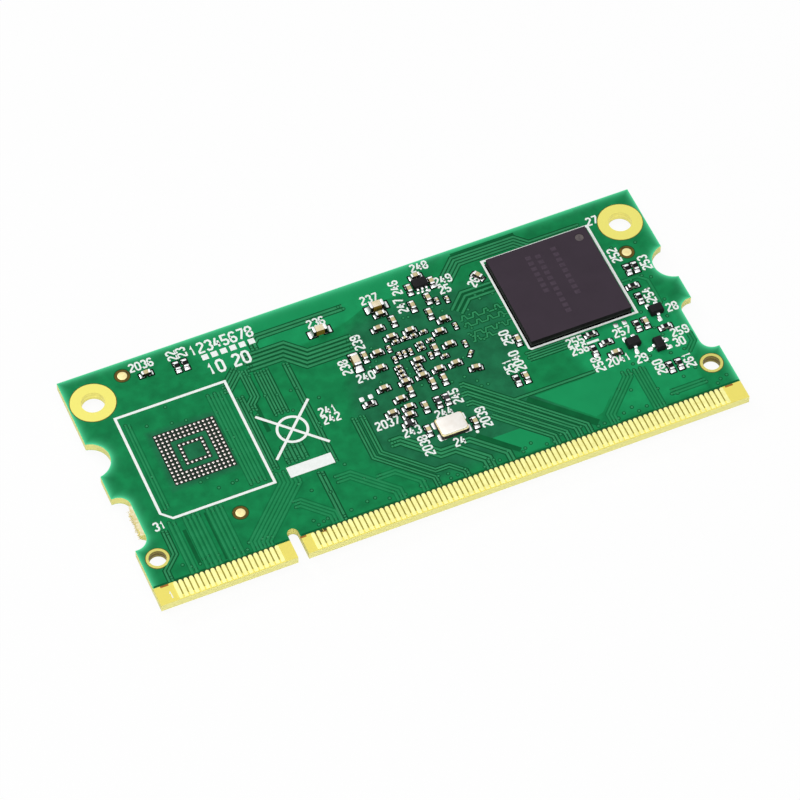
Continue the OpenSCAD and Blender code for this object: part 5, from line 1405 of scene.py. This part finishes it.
class MODULE_OT_traces(bpy.types.Operator):
    """Draws the traces and vias that show through the coating."""

    bl_idname = "module.traces"
    bl_label = "Traces and vias"

    def execute(self, context):
        sizes = context.scene.module_sizes
        for (face, level, up), bundles in zip(FACES, (UPPER_TRACES + FAINT_TRACES, LOWER_TRACES)):
            skins, ends = self.bundle_skins(bundles, level, up, sizes)
            if face == "upper":
                for low, high, height, swing in WAVY_TRACES:
                    line = self.wave(low, high, height, swing) * MM
                    skins["traces"].append(ribbon(line, WAVY_WIDTH * MM, level, up * sizes.trace_rise))
                    skins["trace_gaps"].append(ribbon(line, WAVY_GAP * MM, level, up * sizes.film, 1.0))
                self.tones(level, sizes.film)
            for kind, look in TRACE_FINISHES.items():
                if skins[kind]:
                    add_piece(f"{face}_{kind}", join(skins[kind]), look)
            spots = self.via_spots(np.array(ends), up)
            spots = np.column_stack([spots, np.full(len(spots), level)])
            radius = sizes.via_width / 2
            radii, heights = VIA_PROFILE[0] * radius, VIA_PROFILE[1] * sizes.trace_rise
            rings = turned(spots, radii, heights, VIA_POINTS, up)
            add_piece(face + "_vias", loft(rings), "mask_trace")
            inner, outer = np.array(VIA_CLEARANCE) * radius
            clear = flat_rings(spots, inner, outer, VIA_CLEAR_RISE * sizes.trace_rise, VIA_POINTS, up)
            add_piece(face + "_via_clearances", clear, "mask_gap")
        return {"FINISHED"}

    def bundle_skins(self, bundles, level, up, sizes):
        """Ridges of the traces, the trench under each bundle, and the places of the vias at their ends.

        A bundle's path is moved sideways by its pitch for each trace. Each bundle is a hair higher than
        the last, so that no two faces share a plane.
        """
        skins = {kind: [] for kind in TRACE_FINISHES}
        ends = []
        for place, bundle in enumerate(bundles):
            count, pitch, path = bundle
            faint = bundle in FAINT_TRACES
            hair = place * BUNDLE_STEP * MM
            path = np.array(path) * MM
            shifts = np.arange(count) * pitch * MM
            width = min(abs(pitch) * MM - sizes.trace_gap, sizes.trace_width)
            for number, shift in enumerate(shifts):
                line = offset_path(path, shift)
                ridge = ribbon(line, width, level, up * (sizes.trace_rise + hair))
                skins["faint_traces" if faint else "traces"].append(ridge)
                stagger = number % 2 * VIA_STAGGER * MM
                ends += [run[0] + stagger * self.heading(run) for run in (line, line[::-1])]
            whole = abs(shifts[-1]) + width + 2 * sizes.trace_gap
            depth = (FAINT_SHARE if faint else 1.0) * sizes.film + hair
            trench = ribbon(offset_path(path, shifts[-1] / 2), whole, level, up * depth, 1.0)
            skins["faint_gaps" if faint else "trace_gaps"].append(trench)
        return skins, ends

    def tones(self, level, film):
        """Flat patches on the upper face: bare strips, two of which paint a shadow line along the coating's
        front edge, sheets of copper, and areas with soft borders, some of them painted light.
        """
        bare = []
        for place, (width, path) in enumerate(UPPER_BARE_AND_SHADOW):
            height = BARE_SHARE * film - place * BARE_STEP * MM
            bare.append(ribbon(np.array(path) * MM, width * MM, level, height, 1.0))
        add_piece("upper_bare_and_shadow_strips", join(bare), "mask_bare_and_shadow")
        pours = [self.patch(corners, level, POUR_SHARE * film) for corners in UPPER_POURS]
        add_piece("upper_pours", join(pours), "mask_pour")
        for name, patches, share in SOFT_PATCHES:
            skins = [self.soft_patch(corners, level, share * film) for corners in patches]
            piece = add_piece("upper_" + name, join(skins), name)
            self.fade_out(piece, level + share * film)

    @staticmethod
    def patch(corners, level, rise):
        """Flat sheet: the polygon of its corners at two heights."""
        flat = np.array(corners) * MM
        rings = [np.column_stack([flat, np.full(len(flat), z)]) for z in (level, level + rise)]
        return loft(np.stack(rings)[None])

    @staticmethod
    def soft_patch(corners, level, rise):
        """Flat sheet as in patch, with an inner ring that is drawn in to the middle and a hair higher."""
        flat = np.array(corners) * MM
        middle = flat.mean(axis=0)
        rings = [np.column_stack([middle + grow * (flat - middle), np.full(len(flat), level + z)])
                 for grow, z in ((1.0, 0.0), (1.0, rise), (SOFT_INNER, SOFT_RISE * rise))]
        return loft(np.stack(rings)[None])

    @staticmethod
    def fade_out(piece, height):
        """Writes the fade attribute: one on the points over the given height, and zero on the others."""
        points = np.empty(len(piece.data.vertices) * 3, np.float32)
        piece.data.vertices.foreach_get("co", points)
        fade = piece.data.attributes.new("fade", "FLOAT", "POINT")
        fade.data.foreach_set("value", (points[2::3] > height + FADE_STEP * MM).astype(np.float32))

    @staticmethod
    def heading(line):
        """Unit vector along a line's first run."""
        run = line[1] - line[0]
        return run / np.linalg.norm(run)

    @staticmethod
    def wave(low, high, height, swing):
        """Square wave from low to high in whole teeth, with slanted sides."""
        teeth = int((high - low) / WAVY_TOOTH)
        start = low + np.arange(teeth) * (high - low) / teeth
        across = start[:, None] + WAVY_CORNERS
        up = np.tile(height + swing * np.array([0, 1, 1, 0]), (teeth, 1))
        inner = np.column_stack([across.ravel(), up.ravel()])
        return np.vstack([[low, height], inner, [high, height]])

    @staticmethod
    def via_spots(ends, up):
        """Vias at the ends of traces and in their fields, clear of parts, the card edge and each other."""
        draw = np.random.default_rng(VIA_SEED)
        fields = [draw.uniform(f[:2], f[2:4], (f[4], 2)) * MM for f in VIA_FIELDS]
        spots = np.vstack([ends, *fields])
        keep = (spots[:, 1] > COATING_FRONT_Y + VIA_TO_FRONT * MM) & (np.abs(spots[:, 0]) < VIA_REACH * MM)
        for node in frame["nodes"]:
            if node in VIA_IGNORES or side_of(node) != up:
                continue
            corners = solids(node)[:, :, :2]
            low = corners.min(axis=1) - VIA_TO_PART * MM
            high = corners.max(axis=1) + VIA_TO_PART * MM
            inside = (spots[:, None] > low).all(axis=2) & (spots[:, None] < high).all(axis=2)
            keep &= ~inside.any(axis=1)
        spots = spots[keep]
        gap = np.linalg.norm(spots[:, None] - spots[None], axis=2)
        crowded = np.triu(gap < VIA_SPACING * MM, 1).any(axis=0)
        return spots[~crowded]


class MODULE_OT_numbers(bpy.types.Operator):
    """Prints the part numbers, the layer marks and the small dots."""

    bl_idname = "module.numbers"
    bl_label = "Numbers"

    def execute(self, context):
        sizes = context.scene.module_sizes
        for (face, level, up), rows in zip(FACES, (UPPER_NUMBERS, LOWER_NUMBERS)):
            following = dict(FIRST_NUMBER)
            skins = []
            for x, y, turn, digits in rows:
                for line in self.strokes(str(following[digits]), sizes.number_height, turn, up):
                    path = line + np.array([x, y]) * MM
                    skins.append(ribbon(path, sizes.stroke_width, level, up * sizes.print_rise, STROKE_TOP))
                following[digits] += 1
            if face == "upper":
                skins += self.layer_marks(level, sizes.print_rise)
            add_piece(face + "_numbers", join(skins), "white_ink")
        return {"FINISHED"}

    @staticmethod
    def strokes(text, height, turn, up):
        """Strokes of a number about its middle, turned, and mirrored for the lower face."""
        unit = height / GRID_ROWS
        advance = DIGIT_ADVANCE * unit
        start = -(len(text) * advance - DIGIT_SPACE * unit) / 2
        spin = math.radians(turn)
        matrix = np.array([[math.cos(spin), math.sin(spin)], [-math.sin(spin), math.cos(spin)]])
        lines = []
        for place, digit in enumerate(text):
            for stroke in DIGITS[int(digit)].split("/"):
                grid = np.array([[int(c) for c in token] for token in stroke.split()], float)
                line = grid * np.array([GRID_COLUMN * unit, unit])
                line += np.array([start + place * advance, -height / 2])
                lines.append((line @ matrix) * np.array([up, 1]))
        return lines

    def layer_marks(self, level, rise):
        """A row of layer numbers with squares, two larger numbers, the first contact's, and round dots."""
        skins = []
        for text, x, y, height, width in LAYER_NUMBERS:
            floor = level if y > COATING_FRONT_Y / MM else LAMINATE_HIGH.z
            for line in self.strokes(text, height * MM, 0, 1.0):
                path = line + np.array([x, y]) * MM
                skins.append(ribbon(path, width * MM, floor, rise, STROKE_TOP))
        for number in range(SQUARE_COUNT):
            x = SQUARE_X + SQUARE_STEP * number
            square = np.array([[x, SQUARE_Y], [x + SQUARE_SIDE, SQUARE_Y]]) * MM
            skins.append(ribbon(square, SQUARE_SIDE * MM, level, rise, SQUARE_TOP))
        dots = np.array(PRINT_DOTS) * MM + np.array([0, 0, level])
        skins.append(loft(turned(dots, PRINT_DOT_RADII * MM, [0, rise], PRINT_DOT_POINTS)))
        return skins


# Faint bars on the memory chip, in millimetres: middle, low end and high end of each column, then the step,
# length and width of a bar and the share of its width kept at the top
BAR_COLUMNS = ((19.35, 5.2, 10.8), (20.45, 1.8, 10.8), (22.4, 3.7, 10.8))
BAR_STEP = 0.8
BAR_LENGTH = 0.5
BAR_WIDTH = 0.62
BAR_TOP = 0.95
# Depths under the chip's face, in millimetres, between which the moulded dimple's floor lies
DIMPLE_DEPTHS = (0.01, 0.2)
# Polished disc on that floor: radius as a share of the dimple's, height as a share of its rise, its rise in
# mark rises and points around
DIMPLE_DISC = np.array([[0.97, 0], [0.95, 0.5], [0.5, 1]]).T
DIMPLE_RISES = 3
DIMPLE_POINTS = 32
# Painted shadow strip round the memory: margins at its low and high corner in millimetres, and height in
# print rises
MEMORY_STRIP_LOW = Vector((0.11, 0.06, 0))
MEMORY_STRIP_HIGH = Vector((0.1, 0.1, 0))
MEMORY_STRIP_RISES = 1.2
# Seal of the oscillator's lid, in millimetres: reach under the lid and past it, height and corner radius;
# then steps to a corner
SEAL_UNDER = 0.06
SEAL_PAST = 0.08
SEAL_HEIGHT = 0.06
SEAL_CORNER = 0.24
SEAL_STEPS = 3


class MODULE_OT_marks(bpy.types.Operator):
    """Puts faint bars, a polished dimple and a dark strip of painted shadow round the memory, and a seal on
    the oscillator.
    """

    bl_idname = "module.marks"
    bl_label = "Chip marks"

    def execute(self, context):
        sizes = context.scene.module_sizes
        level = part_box("memory_cap")[1].z
        add_piece("memory_bars", self.bars(level, sizes.mark_rise), "laser_mark")
        add_piece("memory_dimple", self.dimple(level, sizes.mark_rise), "dimple")
        low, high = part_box("memory_carrier")
        low -= MEMORY_STRIP_LOW * MM
        high += MEMORY_STRIP_HIGH * MM
        path = [(low.x, (low.y + high.y) / 2), (high.x, (low.y + high.y) / 2)]
        strip = ribbon(path, high.y - low.y, UPPER_Z, MEMORY_STRIP_RISES * sizes.print_rise, 1.0)
        # Painted shadow round the memory chip
        add_piece("memory_shadow_gap", strip, "chip_painted_shadow")
        add_piece("oscillator_seal", self.seal(), "seal_gold")
        return {"FINISHED"}

    @staticmethod
    def bars(level, rise):
        """Columns of short bars: each is a low ridge along its middle line."""
        skins = []
        for x, low, high in BAR_COLUMNS:
            for y in np.arange(low, high - BAR_STEP / 2, BAR_STEP):
                path = np.array([[x, y], [x, y + BAR_LENGTH]]) * MM
                skins.append(ribbon(path, BAR_WIDTH * MM, level, rise, BAR_TOP))
        return join(skins)

    @staticmethod
    def dimple(level, rise):
        """Turned disc on the dimple's floor, which is found among the corners of the chip's solid."""
        corners = solids("memory_cap")[0]
        shallow, deep = level - np.array(DIMPLE_DEPTHS) * MM
        inside = corners[(corners[:, 2] < shallow) & (corners[:, 2] > deep)]
        spot = ((inside.min(axis=0) + inside.max(axis=0)) / 2)[None]
        radius = np.ptp(inside[:, 0]) / 2
        heights = DIMPLE_DISC[1] * DIMPLE_RISES * rise
        return loft(turned(spot, DIMPLE_DISC[0] * radius, heights, DIMPLE_POINTS))

    @staticmethod
    def seal():
        """Flat frame round the lid's foot: rounded rectangles at two insets and two heights, in a loop."""
        low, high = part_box("oscillator_lid")
        middle = (low + high) / 2
        half = np.array([[high.x - low.x, high.y - low.y]]) / 2
        inset = np.array([[SEAL_UNDER, -SEAL_PAST, -SEAL_PAST, SEAL_UNDER]]) * MM
        heights = np.array([[0, 0, SEAL_HEIGHT, SEAL_HEIGHT]]) * MM
        flat = rectangle_rings(half, inset, SEAL_CORNER * MM, SEAL_STEPS)
        return loft(level_stack(np.array([[middle.x, middle.y, low.z]]), flat, heights), wrap=True)


class MODULE_PT_panel(bpy.types.Panel):
    """Lists the module's sizes, colours and steps."""

    bl_idname = "MODULE_PT_panel"
    bl_label = "Computer module"
    bl_space_type = "VIEW_3D"
    bl_region_type = "UI"
    bl_category = "Module"

    def draw(self, context):
        for group in (context.scene.module_sizes, context.scene.module_colours):
            for name in group.__annotations__:
                self.layout.prop(group, name)
        for step in STEPS:
            self.layout.operator(step.bl_idname)


STEPS = (
    MODULE_OT_studio, MODULE_OT_finishes, MODULE_OT_small_parts, MODULE_OT_contacts, MODULE_OT_solder,
    MODULE_OT_leads, MODULE_OT_balls, MODULE_OT_openings, MODULE_OT_tab, MODULE_OT_traces,
    MODULE_OT_numbers, MODULE_OT_marks,
)
CLASSES = (ModuleSizes, ModuleColours, *STEPS, MODULE_PT_panel)


def register():
    """Registers the classes and hangs the sizes and colours on the scene."""
    for cls in CLASSES:
        bpy.utils.register_class(cls)
    bpy.types.Scene.module_sizes = PointerProperty(type=ModuleSizes)
    bpy.types.Scene.module_colours = PointerProperty(type=ModuleColours)


def unregister():
    """Takes away what register added."""
    del bpy.types.Scene.module_colours
    del bpy.types.Scene.module_sizes
    for cls in reversed(CLASSES):
        bpy.utils.unregister_class(cls)


def main():
    register()
    for step in STEPS:
        group, name = step.bl_idname.split(".")
        getattr(getattr(bpy.ops, group), name)()


if __name__ == "__main__":
    main()
